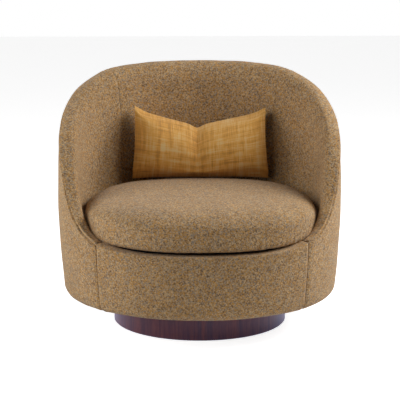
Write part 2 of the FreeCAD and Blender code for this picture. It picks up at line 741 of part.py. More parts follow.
def washer_at(label, low):
    """Flat washer round the pivot, made as a cut of two cylinders."""
    outer = doc.addObject("Part::Cylinder", label + "_disc")
    outer.setExpression("Radius", "Sizes.washer_radius")
    outer.setExpression("Height", "Sizes.washer_thick")
    outer.Placement = Placement(Vector(0, 0, low), Rotation())
    bore = doc.addObject("Part::Cylinder", label + "_bore")
    bore.setExpression("Radius", "Sizes.pivot_radius")
    bore.setExpression("Height", "Sizes.washer_thick")
    bore.Placement = Placement(Vector(0, 0, low), Rotation())
    cut = doc.addObject("Part::Cut", label + "_solid")
    cut.Base = outer
    cut.Tool = bore
    keep(cut, label)


washer_at("pivot_thrust_washer", washer_low)
washer_at("pivot_lower_washer", nut_top)

prism = doc.addObject("Part::Prism", "pivot_nut_hexagon")
prism.Polygon = 6
prism.setExpression("Circumradius", "Sizes.nut_radius")
prism.setExpression("Height", "Sizes.nut_height")
prism.Placement = Placement(Vector(0, 0, nut_top - size("nut_height")), Rotation())
bore = doc.addObject("Part::Cylinder", "pivot_nut_bore")
bore.setExpression("Radius", "Sizes.pivot_radius")
bore.setExpression("Height", "Sizes.nut_height")
bore.Placement = Placement(Vector(0, 0, nut_top - size("nut_height")), Rotation())
nut = doc.addObject("Part::Cut", "pivot_nut_solid")
nut.Base = prism
nut.Tool = bore
keep(nut, "pivot_nut")


def four_bolts(label, low, high, head_low_at, head_high):
    """Four bolts at the corners of a plate: a shank and a flat head."""
    reach = size("plate_side") / 2 - size("bolt_set_in")
    group = []
    for x in (-reach, reach):
        for y in (-reach, reach):
            group.append(tube_at(size("bolt_radius"), low, high, x, y).fuse(
                tube_at(size("bolt_head_radius"), head_low_at, head_high, x, y)))
    return feature(label, Part.makeCompound(group))


four_bolts("lower_plate_bolts", plinth_board_bottom, lower_plate_top, lower_plate_top,
           lower_plate_top + size("bolt_head_height"))
four_bolts("upper_plate_bolts", upper_plate_bottom, board_top + size("bolt_head_height"),
           upper_plate_bottom - size("bolt_head_height"), upper_plate_bottom)


def corner_tubes(radius, low, high):
    """Four cylinders at the bolt places."""
    reach = size("plate_side") / 2 - size("bolt_set_in")
    return Part.makeCompound([tube_at(radius, low, high, x, y) for x in (-reach, reach) for y in (-reach, reach)])


nut_disc = corner_tubes(size("bolt_head_radius"), board_top, board_top + size("bolt_head_height"))
nut_bore = corner_tubes(size("bolt_radius"), board_top, board_top + size("bolt_head_height"))
feature("tee_nuts", Part.makeCompound([disc.cut(nut_bore) for disc in nut_disc.Solids]))

# Base board of the chair body, chamfered below to clear the rounded edge of the cover

def plan_wire(radius_at, height):
    """Rounded plan outline at a height, through points at even angles."""
    steps = 12 * len(section_angle_shares)
    points = [spot(360 * step / steps, (radius_at(360 * step / steps), height)) for step in range(steps)]
    curve = Part.BSplineCurve()
    curve.interpolate(points, PeriodicFlag=True)
    return Part.Wire([curve.toShape()])


def plan_sheet(radius_at, low, thick, inner_at=None):
    """Flat sheet with a rounded plan outline, and an opening if inner_at is given."""
    face = Part.Face(plan_wire(radius_at, low))
    if inner_at:
        face = face.cut(Part.Face(plan_wire(inner_at, low)))
    return face.extrude(Vector(0, 0, thick))


board_edge_share = 0.667
board = Part.makeLoft([plan_wire(lambda angle: board_rim(angle) - size("edge_radius"), board_bottom),
                       plan_wire(board_rim, board_bottom + size("board_thick") * board_edge_share),
                       plan_wire(board_rim, board_top)], True, True)
board = board.cut(tube_at(size("board_hole"), board_bottom, board_top))
for screw_angle in rib_angles:
    board = board.cut(rib_screw(screw_angle, bore_gap))
feature("base_board", board.cut(corner_tubes(size("bolt_radius"), board_bottom, board_top)))

# Dust cover: black cloth stapled over the hem

dust_cover = plan_sheet(lambda angle: station(angle, 0)["hem"][0] + size("dust_cover_overlap"),
                        size("body_bottom") - size("dust_cover_thick"), size("dust_cover_thick"))
feature("dust_cover", dust_cover.cut(tube_at(size("dust_cover_hole"), size("body_bottom") - size("dust_cover_thick"),
                                             size("body_bottom"))))


# Seat deck: a plywood ring, sinuous springs in clips, a pad and a cover

def rail_inside(angle, height):
    """Distance from the axis to the front rail's inner face at a height."""
    out = station(angle, rail_padding_back + 2 * size("layer_gap"), False)
    share = (height - board_top) / (out["crest"][1] - size("layer_gap") - board_top)
    return out["foot"][0] + (out["split"][0] - out["foot"][0]) * share - size("rail_thick")


def ring_outside(angle):
    return min(station(angle, padding_back)["well"][0], rail_inside(angle, deck_ring_bottom)) - size("layer_gap")


def ring_inside(angle):
    return ring_outside(angle) - size("deck_ring_width")


def ring_middle(angle):
    return ring_outside(angle) - size("deck_ring_width") / 2


feature("deck_ring", plan_sheet(ring_outside, deck_ring_bottom, size("deck_ring_thick"), ring_inside))


def ring_crossing(x, first, last):
    """Y where the middle of the ring crosses a line at x, searched between two plan angles."""
    for step in range(50):
        middle = (first + last) / 2
        across = ring_middle(middle) * math.sin(math.radians(middle))
        rising = ring_middle(last) * math.sin(math.radians(last)) > x
        if (across > x) == rising:
            last = middle
        else:
            first = middle
    return -ring_middle(middle) * math.cos(math.radians(middle))


wire_height = deck_ring_top + size("clip_wall") + size("spring_wire") / 2


def spring(x, front, back):
    """Sinuous wire from the front of the ring to the back, as straight bars joined by half turns."""
    turns = round((back - front) / size("spring_pitch"))
    pitch = (back - front) / turns
    bend = pitch / 2
    reach = size("spring_width") / 2 - bend
    edges = []
    side = 1
    for bar in range(turns + 1):
        y = front + bar * pitch
        start = Vector(x - side * reach, y, wire_height)
        end = Vector(x + side * reach, y, wire_height)
        edges.append(Part.LineSegment(start, end).toShape())
        if bar < turns:
            outer = Vector(x + side * (reach + bend), y + bend, wire_height)
            nearer = Vector(x + side * reach, y + pitch, wire_height)
            edges.append(Part.Arc(end, outer, nearer).toShape())
        side = -side
    start = edges[0].Vertexes[0].Point
    circle = Part.Wire([Part.Circle(start, Vector(1, 0, 0), size("spring_wire") / 2).toShape()])
    return Part.Wire(edges).makePipeShell([circle], True, False)


def clip(x, y):
    """Clip that holds one end bar of a spring on the ring."""
    high = 2 * size("clip_wall") + size("spring_wire")
    block = Part.makeBox(size("clip_width"), size("clip_depth"), high,
                         Vector(x - size("clip_width") / 2, y - size("clip_depth") / 2, deck_ring_top))
    bore = Part.makeCylinder(size("spring_wire") / 2 + size("ball_clearance"), size("clip_width"),
                             Vector(x - size("clip_width") / 2, y, wire_height), Vector(1, 0, 0))
    return block.cut(bore)


# The outermost springs stand at this share of the ring's half width.
spring_reach_share = 0.628
springs = []
clips = []
for number in range(count("spring_count")):
    x = spring_reach_share * ring_middle(90) * (2 * number / (count("spring_count") - 1) - 1)
    front = ring_crossing(abs(x), 0, 90)
    back = ring_crossing(abs(x), 90, 180)
    springs.append(spring(x, front, back))
    clips += [clip(x, front), clip(x, back)]
feature("seat_springs", Part.makeCompound(springs))
feature("spring_clips", Part.makeCompound(clips))


def deck_radius(angle):
    tuck = station(angle, under_cover, False)["crest"][0] - size("cover_tuck")
    return min(well_radius(angle), tuck) - size("layer_gap")


deck_cover_low = size("deck_height") - size("deck_cover_thick")
deck_pad_low = deck_cover_low - size("layer_gap") - size("deck_pad_thick")
feature("deck_pad", plan_sheet(deck_radius, deck_pad_low, size("deck_pad_thick")))
feature("deck_cover", plan_sheet(deck_radius, deck_cover_low, size("deck_cover_thick")))


# Seat cushion: a crowned, slightly squared oval with rounded, drawn-in sides

cushion_low = max(size("deck_height"), size("rail_top") + size("crest_rise") * crest_rise_shares[0][1])
cushion_low += 2 * size("layer_gap")
cushion_centre = (cushion_back - cushion_front) / 2
cushion_half_depth = (cushion_back + cushion_front) / 2
# Each pair is a share of the height and how far the side is drawn in there, as a share of the half width.
cushion_side_shares = ((0, 0.12), (0.1, 0.045), (0.22, 0.01), (0.4, 0), (0.58, 0.011), (0.72, 0.044),
                       (0.83, 0.11), (0.91, 0.22), (0.965, 0.385), (0.99, 0.585), (1, 0.82))
oval_arc_count = 12
levels_between = 2
cushion_levels = []
for (low_share, low_in), (high_share, high_in) in zip(cushion_side_shares, cushion_side_shares[1:]):
    for step in range(levels_between):
        level = low_share + (high_share - low_share) * step / levels_between
        cushion_levels.append((level, eased(cushion_side_shares, level)))
cushion_levels.append(cushion_side_shares[-1])


def squared_oval(half_width, half_depth, turn, corner_share):
    """Place on a squared oval about its own centre, at a turn from its front."""
    power = 1 / corner_share
    across, along = math.sin(turn), math.cos(turn)
    reach = (abs(across / half_width) ** power + abs(along / half_depth) ** power) ** -corner_share
    return reach * across, -reach * along


def cushion_wire(level, drawn_in, inside):
    """Squared oval of arcs at a level of the cushion, a depth inside its cover."""
    half_width = cushion_half_width * (1 - drawn_in) - inside
    half_depth = cushion_half_depth - cushion_half_width * drawn_in - inside
    height = cushion_low + inside + (size("cushion_height") - 2 * inside) * level
    widest = cushion_side_shares[3][0]
    rise = max(0, level - widest) / (1 - widest)
    corner = size("well_corner_share") + (size("crown_corner_share") - size("well_corner_share")) * rise
    points = []
    for step in range(2 * oval_arc_count):
        x, y = squared_oval(half_width, half_depth, math.pi * (step - 1) / oval_arc_count, corner)
        points.append(Vector(x, cushion_centre + y, height))
    points.append(points[0])
    edges = []
    for first, middle, last in zip(points[0::2], points[1::2], points[2::2]):
        edges.append(Part.Arc(first, middle, last).toShape())
    return Part.Wire(edges)


def cushion_solid(inside):
    """Loft up through the ovals, straight from one to the next, a depth inside the cover."""
    return Part.makeLoft([cushion_wire(level, drawn_in, inside) for level, drawn_in in cushion_levels], True, True)


feature("seat_cushion_cover", cushion_solid(0).cut(cushion_solid(skin)))
feature("seat_cushion_core", cushion_solid(under_cover))


def cushion_level(drawn_in):
    """Share of the height where the crown has drawn in by a share of the half width."""
    crown = [pair for pair in cushion_side_shares if pair[0] >= cushion_side_shares[3][0]]
    return eased([(pair[1], pair[0]) for pair in crown], drawn_in)


def cushion_back_radius(angle):
    """Distance from the cushion's centre to its widest line."""
    x, y = squared_oval(cushion_half_width, cushion_half_depth, math.radians(angle), size("well_corner_share"))
    return math.hypot(x, y)


zip_height = cushion_low + size("cushion_height") * cushion_side_shares[3][0]
zip_half_angle = math.degrees(size("zip_length") / 2 / cushion_half_depth)
zip_step_shares = (-1, -0.75, -0.5, -0.25, 0, 0.25, 0.5, 0.75, 1)


def zip_path(angle):
    near = cushion_back_radius(angle) + 3 * size("layer_gap")
    far = near + size("zip_thick")
    low = zip_height - size("zip_width") / 2
    high = low + size("zip_width")
    return (((near, low), (near, high)), ((near, high), (far, high)), ((far, high), (far, low)),
            ((far, low), (near, low)))


feature("seat_cushion_zip", lofted([180 + zip_half_angle * share for share in zip_step_shares], zip_path),
        Placement(Vector(0, cushion_centre, 0), Rotation()))


# Lumbar pillow: pointed corners, a dented top edge and drawn-in sides, leaning on the back

# Each pair is a share of the half width and a share of the height or of the thickness there.
pillow_top_shares = ((0, 0), (0.08, 0.14), (0.22, 0.4), (0.5, 0.58), (0.75, 0.73), (0.9, 0.87), (1, 1))
pillow_thick_shares = ((0, 0.94), (0.2, 1), (0.5, 0.98), (0.75, 0.8), (0.9, 0.48), (0.97, 0.22), (1, 0.08))
pillow_half_steps = 14
pillow_back_shares = ((0, 0.5), (0.5, 0.42), (0.7, 0.34), (1, 0.3))
pillow_waist_share = 0.04
pillow_belly_share = 0.44


def pillow_wire(share, inside):
    """Lens of two arcs across the pillow at a share of its half width, a depth inside its cover."""
    x = (size("pillow_width") / 2 - inside) * share
    top = size("pillow_height") - size("pillow_chop") * (1 - eased(pillow_top_shares, abs(share))) - inside
    thick = max(size("pillow_thick") * eased(pillow_thick_shares, abs(share)) - 2 * inside, size("pillow_seam"))
    edge = size("pillow_seam") / 2 * (1 - inside / size("pillow_seam"))
    back_share = eased(pillow_back_shares, abs(share))
    front = -thick * (1 - back_share) - edge
    back = thick * back_share + edge
    middle = inside + (top - inside) * pillow_belly_share
    low_front = Vector(x, -edge, inside)
    low_back = Vector(x, edge, inside)
    high_front = Vector(x, -edge, top)
    high_back = Vector(x, edge, top)
    return Part.Wire([Part.Arc(low_front, Vector(x, front, middle), high_front).toShape(),
                      Part.LineSegment(high_front, high_back).toShape(),
                      Part.Arc(high_back, Vector(x, back, middle), low_back).toShape(),
                      Part.LineSegment(low_back, low_front).toShape()])


def pillow_solid(inside):
    shares = [step / pillow_half_steps for step in range(-pillow_half_steps, pillow_half_steps + 1)]
    solid = Part.makeLoft([pillow_wire(share, inside) for share in shares], True, True)
    waist = size("pillow_width") * pillow_waist_share / 2
    half = size("pillow_height") / 2
    bow = (half * half + waist * waist) / (2 * waist)
    for side in (-1, 1):
        x = side * (size("pillow_width") / 2 - waist - inside + bow)
        cutter = Part.makeCylinder(bow, 2 * size("pillow_thick"), Vector(x, -size("pillow_thick"), half),
                                   Vector(0, 1, 0))
        solid = solid.cut(cutter)
    return solid


pillow_y = cushion_back - size("pillow_set_in")
pillow_reach = size("pillow_seam") / 2 + size("zip_thick")
cushion_under_pillow = cushion_low + size("cushion_height") * cushion_level(
    (size("pillow_set_in") + pillow_reach) / cushion_half_width)
pillow_base = cushion_under_pillow + size("zip_thick")


# The pillow stands on the cushion and leans back.
leaning = Placement(Vector(0, pillow_y, pillow_base), Rotation(Vector(1, 0, 0), -size("pillow_lean_angle")))
feature("pillow_cover", pillow_solid(0).cut(pillow_solid(skin)), leaning)
feature("pillow_insert", pillow_solid(under_cover), leaning)
feature("pillow_zip", Part.makeBox(size("pillow_zip_length"), size("pillow_seam"), size("zip_thick"),
                                   Vector(-size("pillow_zip_length") / 2, -size("pillow_seam") / 2,
                                          -size("layer_gap") - size("zip_thick"))), leaning)


# Every piece is checked, then written to its own file

doc.recompute()
broken = [obj.Label for obj in doc.Objects if "Invalid" in obj.State or "Error" in obj.State]
if broken:
    raise RuntimeError("these objects failed: " + ", ".join(broken))
for obj in PARTS:
    if obj.Shape.isNull() or not obj.Shape.isValid():
        raise RuntimeError("this piece has no valid shape: " + obj.Label)
os.makedirs("parts", exist_ok=True)
for obj in PARTS:
    obj.Shape.exportStep("parts/" + obj.Label + ".step")
print(len(PARTS), "pieces written")
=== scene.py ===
"""Dresses an upholstered barrel swivel chair in tweed, linen, stained wood and steel, and sets up its studio."""

import json
import math
from functools import partial
from types import SimpleNamespace

import bmesh
import bpy
import numpy as np
from bpy.props import FloatProperty, FloatVectorProperty, PointerProperty
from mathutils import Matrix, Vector


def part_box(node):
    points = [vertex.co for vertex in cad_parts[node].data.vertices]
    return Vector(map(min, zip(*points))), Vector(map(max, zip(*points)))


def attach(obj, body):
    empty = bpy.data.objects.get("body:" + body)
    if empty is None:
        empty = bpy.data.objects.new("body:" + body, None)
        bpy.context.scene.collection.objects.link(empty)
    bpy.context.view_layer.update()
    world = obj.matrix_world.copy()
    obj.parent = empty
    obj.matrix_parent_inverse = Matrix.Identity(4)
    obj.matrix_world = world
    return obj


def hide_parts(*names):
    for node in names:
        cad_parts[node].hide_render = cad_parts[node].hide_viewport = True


bl_info = {
    "name": "Barrel Swivel Chair",
    "version": (1, 0, 0),
    "blender": (4, 5, 0),
    "location": "View3D > Sidebar > Chair",
    "description": "Builds the cloth, cushions and finishes of a barrel swivel chair and its studio",
    "category": "Object",
}

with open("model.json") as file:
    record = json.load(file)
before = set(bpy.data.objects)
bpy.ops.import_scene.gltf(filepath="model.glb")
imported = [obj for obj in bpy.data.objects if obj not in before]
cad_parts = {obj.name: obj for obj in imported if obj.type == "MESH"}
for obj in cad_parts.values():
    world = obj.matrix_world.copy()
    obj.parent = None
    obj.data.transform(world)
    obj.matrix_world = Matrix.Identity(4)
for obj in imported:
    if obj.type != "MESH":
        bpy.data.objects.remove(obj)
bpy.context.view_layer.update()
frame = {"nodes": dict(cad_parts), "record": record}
MM = 0.001


# Colours and sizes

def linear(code):
    """Linear RGBA of an sRGB hex colour."""
    parts = [int(code[place:place + 2], 16) / 255 for place in (1, 3, 5)]
    return tuple(p / 12.92 if p <= 0.04045 else ((p + 0.055) / 1.055) ** 2.4 for p in parts) + (1.0,)


def length(name, description, default):
    """A length setting in metres, given in millimetres."""
    return FloatProperty(name=name, description=description, default=default * MM, unit="LENGTH", precision=4)


def number(name, description, default):
    """A setting without a unit, or an angle in degrees."""
    return FloatProperty(name=name, description=description, default=default)


def colour(name, description, code):
    """A colour setting given as an sRGB hex value."""
    return FloatVectorProperty(name=name, description=description, subtype="COLOR", size=4, min=0, max=1,
                               default=linear(code))


class ChairBody(bpy.types.PropertyGroup):
    """Sizes of the upholstered body, the same as the frame's."""
    half_width: length("Half width", "Widest line to the middle", 445)
    front: length("Front", "Swivel axis to the front", 441)
    back: length("Back", "Swivel axis to the back", 436.4)
    corner: number("Corner", "Squareness of the plan oval", 0.48)
    bottom: length("Bottom", "Height of the body's underside", 102)
    edge: length("Lower edge", "Radius of the rounded lower edge", 26)
    foot_tuck: length("Foot tuck", "How far the wall draws in at its foot", 20)
    belly: length("Belly", "Height of the widest line", 480)
    shoulder_tuck: length("Shoulder tuck", "How far the wall draws in at the rim", 8)
    rail_top: length("Rail top", "Height of the front rail", 297)
    back_seam: length("Back seam", "Height of the rim seam at the back", 754)
    crest_rise: length("Crest rise", "Crest above the rim seam", 22)
    crest_set_in: length("Crest set-in", "Crest inside the rim seam", 33)
    deck: length("Deck", "Height of the seat deck", 300)
    well_half_width: length("Well half width", "Half width between the arms at the deck", 365)
    well_front: length("Well front", "Axis to the front of the seat well", 402)
    well_back: length("Well back", "Axis to the back of the seat well", 266)
    well_corner: number("Well corner", "Squareness of the seat well's oval", 0.455)
    side_lean: number("Side lean", "Lean of the arms' inner walls, degrees", 4)
    back_lean: number("Back lean", "Lean of the back's inner wall, degrees", 10.5)
    shoulder_drop: length("Shoulder drop", "Crest to the straight inner wall", 86)
    hem: length("Hem", "Cloth turned under the body", 26)
    tuck: length("Tuck", "Cloth turned in over the front rail", 24)
    front_seam: number("Front seam", "Plan angle of the front seams, degrees", 46)
    back_seam_angle: number("Back seam angle", "Plan angle of the inner back seams, degrees", 133.5)
    cloth: length("Cloth", "Thickness of the upholstery cloth", 2)
    dust_hole: length("Dust cloth hole", "Radius of the hole in the dust cloth", 232)
    dust_overlap: length("Dust cloth overlap", "Dust cloth over the hem", 9)


class ChairCushions(bpy.types.PropertyGroup):
    """Sizes of the two loose cushions."""
    half_width: length("Half width", "Half width of the seat cushion", 359)
    front: length("Front", "Axis to the seat cushion's front", 428)
    back: length("Back", "Axis to the seat cushion's back", 261)
    corner: number("Corner", "Squareness of the seat cushion's sides", 0.455)
    crown_corner: number("Crown corner", "Squareness of the cushion's crown", 0.36)
    voxel: length("Seat mesh", "Mesh spacing of the seat cushion's cloth", 7)
    pillow_lean: number("Pillow lean", "Lean of the pillow, degrees", 11)
    pillow_width: length("Pillow width", "Width of the lumbar pillow", 424)
    pillow_height: length("Pillow height", "Height of the lumbar pillow at its corners", 228)
    pillow_thick: length("Pillow thickness", "Thickness of the lumbar pillow", 124)
    pillow_chop: length("Pillow chop", "Depth of the dent in the pillow's top edge", 60)
    pillow_set_in: length("Pillow set-in", "Pillow's middle ahead of the seat cushion's back", 66)


class ChairColours(bpy.types.PropertyGroup):
    """Colours of the finishes."""
    tweed_ochre: colour("Tweed ochre", "Main yarn of the tweed", "#BE8A40")
    tweed_tan: colour("Tweed tan", "Light yarn of the tweed", "#D0B48A")
    tweed_taupe: colour("Tweed taupe", "Grey yarn of the tweed", "#948A7C")
    tweed_brown: colour("Tweed brown", "Dark yarn of the tweed", "#6E4C28")
    linen_gold: colour("Linen gold", "Main yarn of the pillow's linen", "#E0A244")
    linen_straw: colour("Linen straw", "Light slubs of the pillow's linen", "#E4C080")
    linen_umber: colour("Linen umber", "Dark slubs of the pillow's linen", "#B98238")
    stain: colour("Wood stain", "Stained wood of the plinth", "#522015")
    stain_light: colour("Wood figure", "Lighter figure of the plinth's wood", "#8C452C")
    plywood: colour("Plywood", "Bare plywood of the hidden timber", "#C9A873")
    zinc: colour("Zinc", "Plated steel of the swivel", "#B4B6B2")
    floor: colour("Floor", "Studio floor", "#F2F2F2")


# Curves of the body. Each table runs from the front, share zero, round to the back, share one.

SEAM_RISE_SHARES = ((0, 0), (0.12, 0), (0.17, 0.004), (0.21, 0.012), (0.247, 0.029), (0.278, 0.055), (0.306, 0.094),
                    (0.333, 0.151), (0.361, 0.226), (0.389, 0.319), (0.422, 0.447), (0.461, 0.567), (0.5, 0.652),
                    (0.583, 0.784), (0.667, 0.9), (0.778, 0.98), (0.889, 0.996), (1, 1))
CREST_RISE_SHARES = ((0, 0.15), (0.14, 0.15), (0.247, 0.2), (0.333, 0.42), (0.5, 1), (1, 1.25))
CREST_SET_IN_SHARES = ((0, 0.4), (0.247, 0.42), (0.333, 0.7), (0.5, 1), (1, 1.3))
SHOULDER_TUCK_SHARES = ((0, 0.2), (0.247, 0.3), (0.333, 0.6), (0.42, 1), (1, 1))
# The shoulder drops by no more than this share of the crest's height above the deck.
SHOULDER_LIMIT_SHARE = 0.8
# Powers of the wall's curves below the belly and towards the rim.
BARREL_POWER = 2.1
RIM_POWER = 4
# How far the inner wall runs on below the deck.
BELOW_DECK = 6 * MM


def eased(table, place):
    """Monotone cubic through a table of (place, value), for a whole array of places.

    Each stretch is value + rise * (3 - 2t) t^2 plus the two end slopes, which are harmonic means of the steps."""
    xs, ys = np.array(table, float).T
    place = np.clip(place, xs[0], xs[-1])
    steps = np.diff(ys) / np.diff(xs)
    before, after = steps[:-1], steps[1:]
    flat = before * after <= 0
    means = np.where(flat, 0, 2 * before * after / np.where(flat, 1, before + after))
    slopes = np.concatenate((steps[:1], means, steps[-1:]))
    i = np.clip(np.searchsorted(xs, place, side="right") - 1, 0, len(xs) - 2)
    span = xs[i + 1] - xs[i]
    t = (place - xs[i]) / span
    return (ys[i] + (ys[i + 1] - ys[i]) * (3 - 2 * t) * t * t
            + span * (slopes[i] * t * (1 - t) ** 2 - slopes[i + 1] * t * t * (1 - t)))


def well_radius(size, across, along):
    """Radius of the seat well's squared oval, whose centre lies towards the front, found by halving."""
    half_depth = (size.well_front + size.well_back) / 2
    centre = (size.well_front - size.well_back) / 2
    near, far = np.zeros_like(across), np.ones_like(across)
    for _ in range(40):
        middle = (near + far) / 2
        inside = (np.abs(middle * across / size.well_half_width) ** (1 / size.well_corner)
                  + np.abs((middle * along - centre) / half_depth) ** (1 / size.well_corner)) < 1
        near, far = np.where(inside, middle, near), np.where(inside, far, middle)
    return far


def body_section(angle):
    """Radii and heights of the body's section at plan angles in degrees, the front being 0.

    Plan: (across / half width)^p + (along / front or back)^p = 1. The seat well is a like oval centred towards
    the front, and the rim seam, crest and shoulder follow the tables from front to back."""
    size = bpy.context.scene.chair_body
    share = np.abs((angle + 180) % 360 - 180) / 180
    across, along = np.abs(np.sin(np.radians(angle))), np.cos(np.radians(angle))
    power = 1 / size.corner
    reach = np.where(along > 0, size.front, size.back)
    plan = ((across / size.half_width) ** power + (np.abs(along) / reach) ** power) ** (-1 / power)
    well = well_radius(size, across, along)
    seam = size.rail_top + (size.back_seam - size.rail_top) * eased(SEAM_RISE_SHARES, share)
    crest = seam + size.crest_rise * eased(CREST_RISE_SHARES, share)
    drop = np.minimum(size.shoulder_drop, SHOULDER_LIMIT_SHARE * (crest - size.deck))
    shoulder = crest - drop
    lean = size.side_lean + (size.back_lean - size.side_lean) * np.maximum(0, 2 * share - 1)
    section = SimpleNamespace(
        size=size, share=share, plan=plan, well=well, seam=seam, crest=crest, shoulder=shoulder,
        inner=well + (shoulder - size.deck) * np.tan(np.radians(lean)))
    section.foot_radius = wall_radius(section, size.bottom + size.edge)
    section.seam_radius = wall_radius(section, seam)
    section.crest_radius = section.seam_radius - size.crest_set_in * eased(CREST_SET_IN_SHARES, share)
    return section


def wall_radius(section, height):
    """Radius of the barrel wall: the plan less a power curve below the belly and one near the rim."""
    size = section.size
    low = np.maximum(0, (size.belly - height) / (size.belly - size.bottom))
    high = np.maximum(0, (height - size.bottom) / (section.seam - size.bottom))
    return (section.plan - size.foot_tuck * low ** BARREL_POWER
            - size.shoulder_tuck * eased(SHOULDER_TUCK_SHARES, section.share) * high ** RIM_POWER)


def hem_rows(section, steps):
    """Flat hem under the body, from its inner edge out to the rounded lower edge."""
    size = section.size
    return section.foot_radius - size.edge - size.hem * (1 - steps), size.bottom + 0 * steps


def edge_rows(section, steps):
    """Quarter circle from the underside up into the wall."""
    turn = steps * math.pi / 2
    edge = section.size.edge
    return section.foot_radius - edge + edge * np.sin(turn), section.size.bottom + edge * (1 - np.cos(turn))


def wall_rows(section, steps):
    """Barrel wall from the lower edge up to the rim seam."""
    low = section.size.bottom + section.size.edge
    height = low + (section.seam - low) * steps
    return wall_radius(section, height), height


def roll_rows(section, steps):
    """Quarter oval from the rim seam up and in to the crest."""
    turn = steps * math.pi / 2
    return (section.crest_radius + (section.seam_radius - section.crest_radius) * np.cos(turn),
            section.seam + (section.crest - section.seam) * np.sin(turn))


def shoulder_rows(section, steps):
    """Quarter oval from the crest in and down to the inner wall."""
    turn = steps * math.pi / 2
    return (section.inner + (section.crest_radius - section.inner) * (1 - np.sin(turn)),
            section.shoulder + (section.crest - section.shoulder) * np.cos(turn))


def inner_rows(section, steps):
    """Straight leaning inner wall from the shoulder down to just below the deck."""
    low = section.size.deck - BELOW_DECK
    return (section.inner + (section.well - section.inner) * steps,
            section.shoulder + (low - section.shoulder) * steps)


def tuck_rows(section, steps):
    """Level strip from the front rail's crest inwards under the seat cushion."""
    return section.crest_radius - section.size.tuck * steps, section.crest + 0 * steps


def crowded(first, last, count, low=True, high=True):
    """Numbers from first to last that lie close together towards the low end, the high end or both."""
    steps = np.linspace(0 if low else 0.5, 1 if high else 0.5, count)
    steps = (1 - np.cos(math.pi * steps)) / 2
    return first + (last - first) * (steps - steps[0]) / (steps[-1] - steps[0])


def around(turn, radius, height):
    """Points at plan angles in radians, the front being 0: radius * sin across, -radius * cos along, and height."""
    return np.stack((radius * np.sin(turn), -radius * np.cos(turn), height), axis=-1)


def body_grid(angles, *stretches):
    """Grid of points over plan angles and along the section: stretches are (row function, steps or their count)."""
    section = body_section(angles[:, None])
    radii, heights = [], []
    for rows, steps in stretches:
        steps = np.linspace(0, 1, steps) if isinstance(steps, int) else steps
        radius, height = rows(section, steps[None, 1 if radii else 0:])
        radii.append(radius + 0 * height)
        heights.append(height + 0 * radius)
    radius, height = np.concatenate(radii, axis=1), np.concatenate(heights, axis=1)
    return around(np.radians(angles)[:, None], radius, height)


# Grids and meshes

def normals_of(points):
    """Unit normals of a grid: the cross product of its two directions."""
    normal = np.cross(np.gradient(points, axis=0), np.gradient(points, axis=1))
    return normal / np.maximum(np.linalg.norm(normal, axis=-1, keepdims=True), 1e-12)


def run_along(points, axis):
    """Distance travelled along one direction of a grid from its first line."""
    step = np.linalg.norm(np.diff(points, axis=axis), axis=-1)
    pad = [(1, 0) if a == axis else (0, 0) for a in range(2)]
    return np.cumsum(np.pad(step, pad), axis=axis)


def plan_uv(points):
    """UV from above in metres of a grid that closes on itself: its first line comes again at the end."""
    return np.concatenate((points, points[:1]))[..., :2]


def groove(distance, depth, width):
    """Sewn seam: a bell-shaped dip, deepest at the seam, less a low swell that tops 2.6 widths away."""
    swell_share, swell_place, swell_width = 0.22, 2.6, 1.3
    away = distance / width
    return depth * (swell_share * np.exp(-((away - swell_place) / swell_width) ** 2) - np.exp(-away ** 2))


def gathers(distance, along, height, spacing, reach, seed):
    """Small gathers square to a seam: three waves along it with wandering phases, fading away from it."""
    phases = np.random.default_rng(seed).uniform(0, 2 * math.pi, 6)
    waves = 0
    for stretch, phase, wander in zip((0.71, 1, 1.63), phases[:3], phases[3:]):
        waves = waves + np.sin(along * 2 * math.pi / (spacing * stretch) + phase
                               + 1.5 * np.sin(along * 2 * math.pi / (spacing * 7.3) + wander))
    return height / 2 * waves * np.exp(-distance / reach)


def unevenness(points, height, seed):
    """Gentle swells of hand-laid padding: four plane waves of 90 to 240 mm in seeded directions."""
    rng = np.random.default_rng(seed)
    total = 0
    for wave in np.linspace(90, 240, 4) * MM:
        direction = rng.normal(size=3)
        direction /= np.linalg.norm(direction)
        total = total + np.sin(points @ direction * 2 * math.pi / wave + rng.uniform(0, 2 * math.pi))
    return height / 2 * total


def packed(values, kind=np.float32):
    """Values in one row, as foreach_set takes them."""
    return np.ascontiguousarray(values, kind).ravel()


def mesh_object(name, points, faces, corner_uv):
    """Object whose mesh has the given points, quads and UV corners."""
    mesh = bpy.data.meshes.new(name)
    mesh.vertices.add(len(points))
    mesh.vertices.foreach_set("co", packed(points))
    mesh.loops.add(faces.size)
    mesh.loops.foreach_set("vertex_index", packed(faces, np.int32))
    mesh.polygons.add(len(faces))
    mesh.polygons.foreach_set("loop_start", np.arange(0, faces.size, 4, dtype=np.int32))
    mesh.uv_layers.new(name="weave").data.foreach_set("uv", packed(corner_uv))
    mesh.update(calc_edges=True)
    mesh.validate()
    mesh.shade_smooth()
    obj = bpy.data.objects.new(name, mesh)
    bpy.context.scene.collection.objects.link(obj)
    return obj


def grid_object(name, points, uv, closed=False):
    """Mesh of a grid: a quad between each four neighbours, and across the join where the first direction closes."""
    index = np.arange(points.shape[0] * points.shape[1]).reshape(points.shape[:2])
    if closed:
        index = np.vstack((index, index[:1]))
    place = np.arange(uv.shape[0] * uv.shape[1]).reshape(uv.shape[:2])
    quads, corners = (np.stack((i[:-1, :-1], i[1:, :-1], i[1:, 1:], i[:-1, 1:]), axis=-1).reshape(-1, 4)
                      for i in (index, place))
    return mesh_object(name, points.reshape(-1, 3), quads, uv.reshape(-1, 2)[corners.ravel()])


def thicken(obj, thickness):
    """Gives a sheet its thickness on its inner side."""
    wall = obj.modifiers.new("thickness", "SOLIDIFY")
    wall.thickness = thickness
    wall.offset = -1


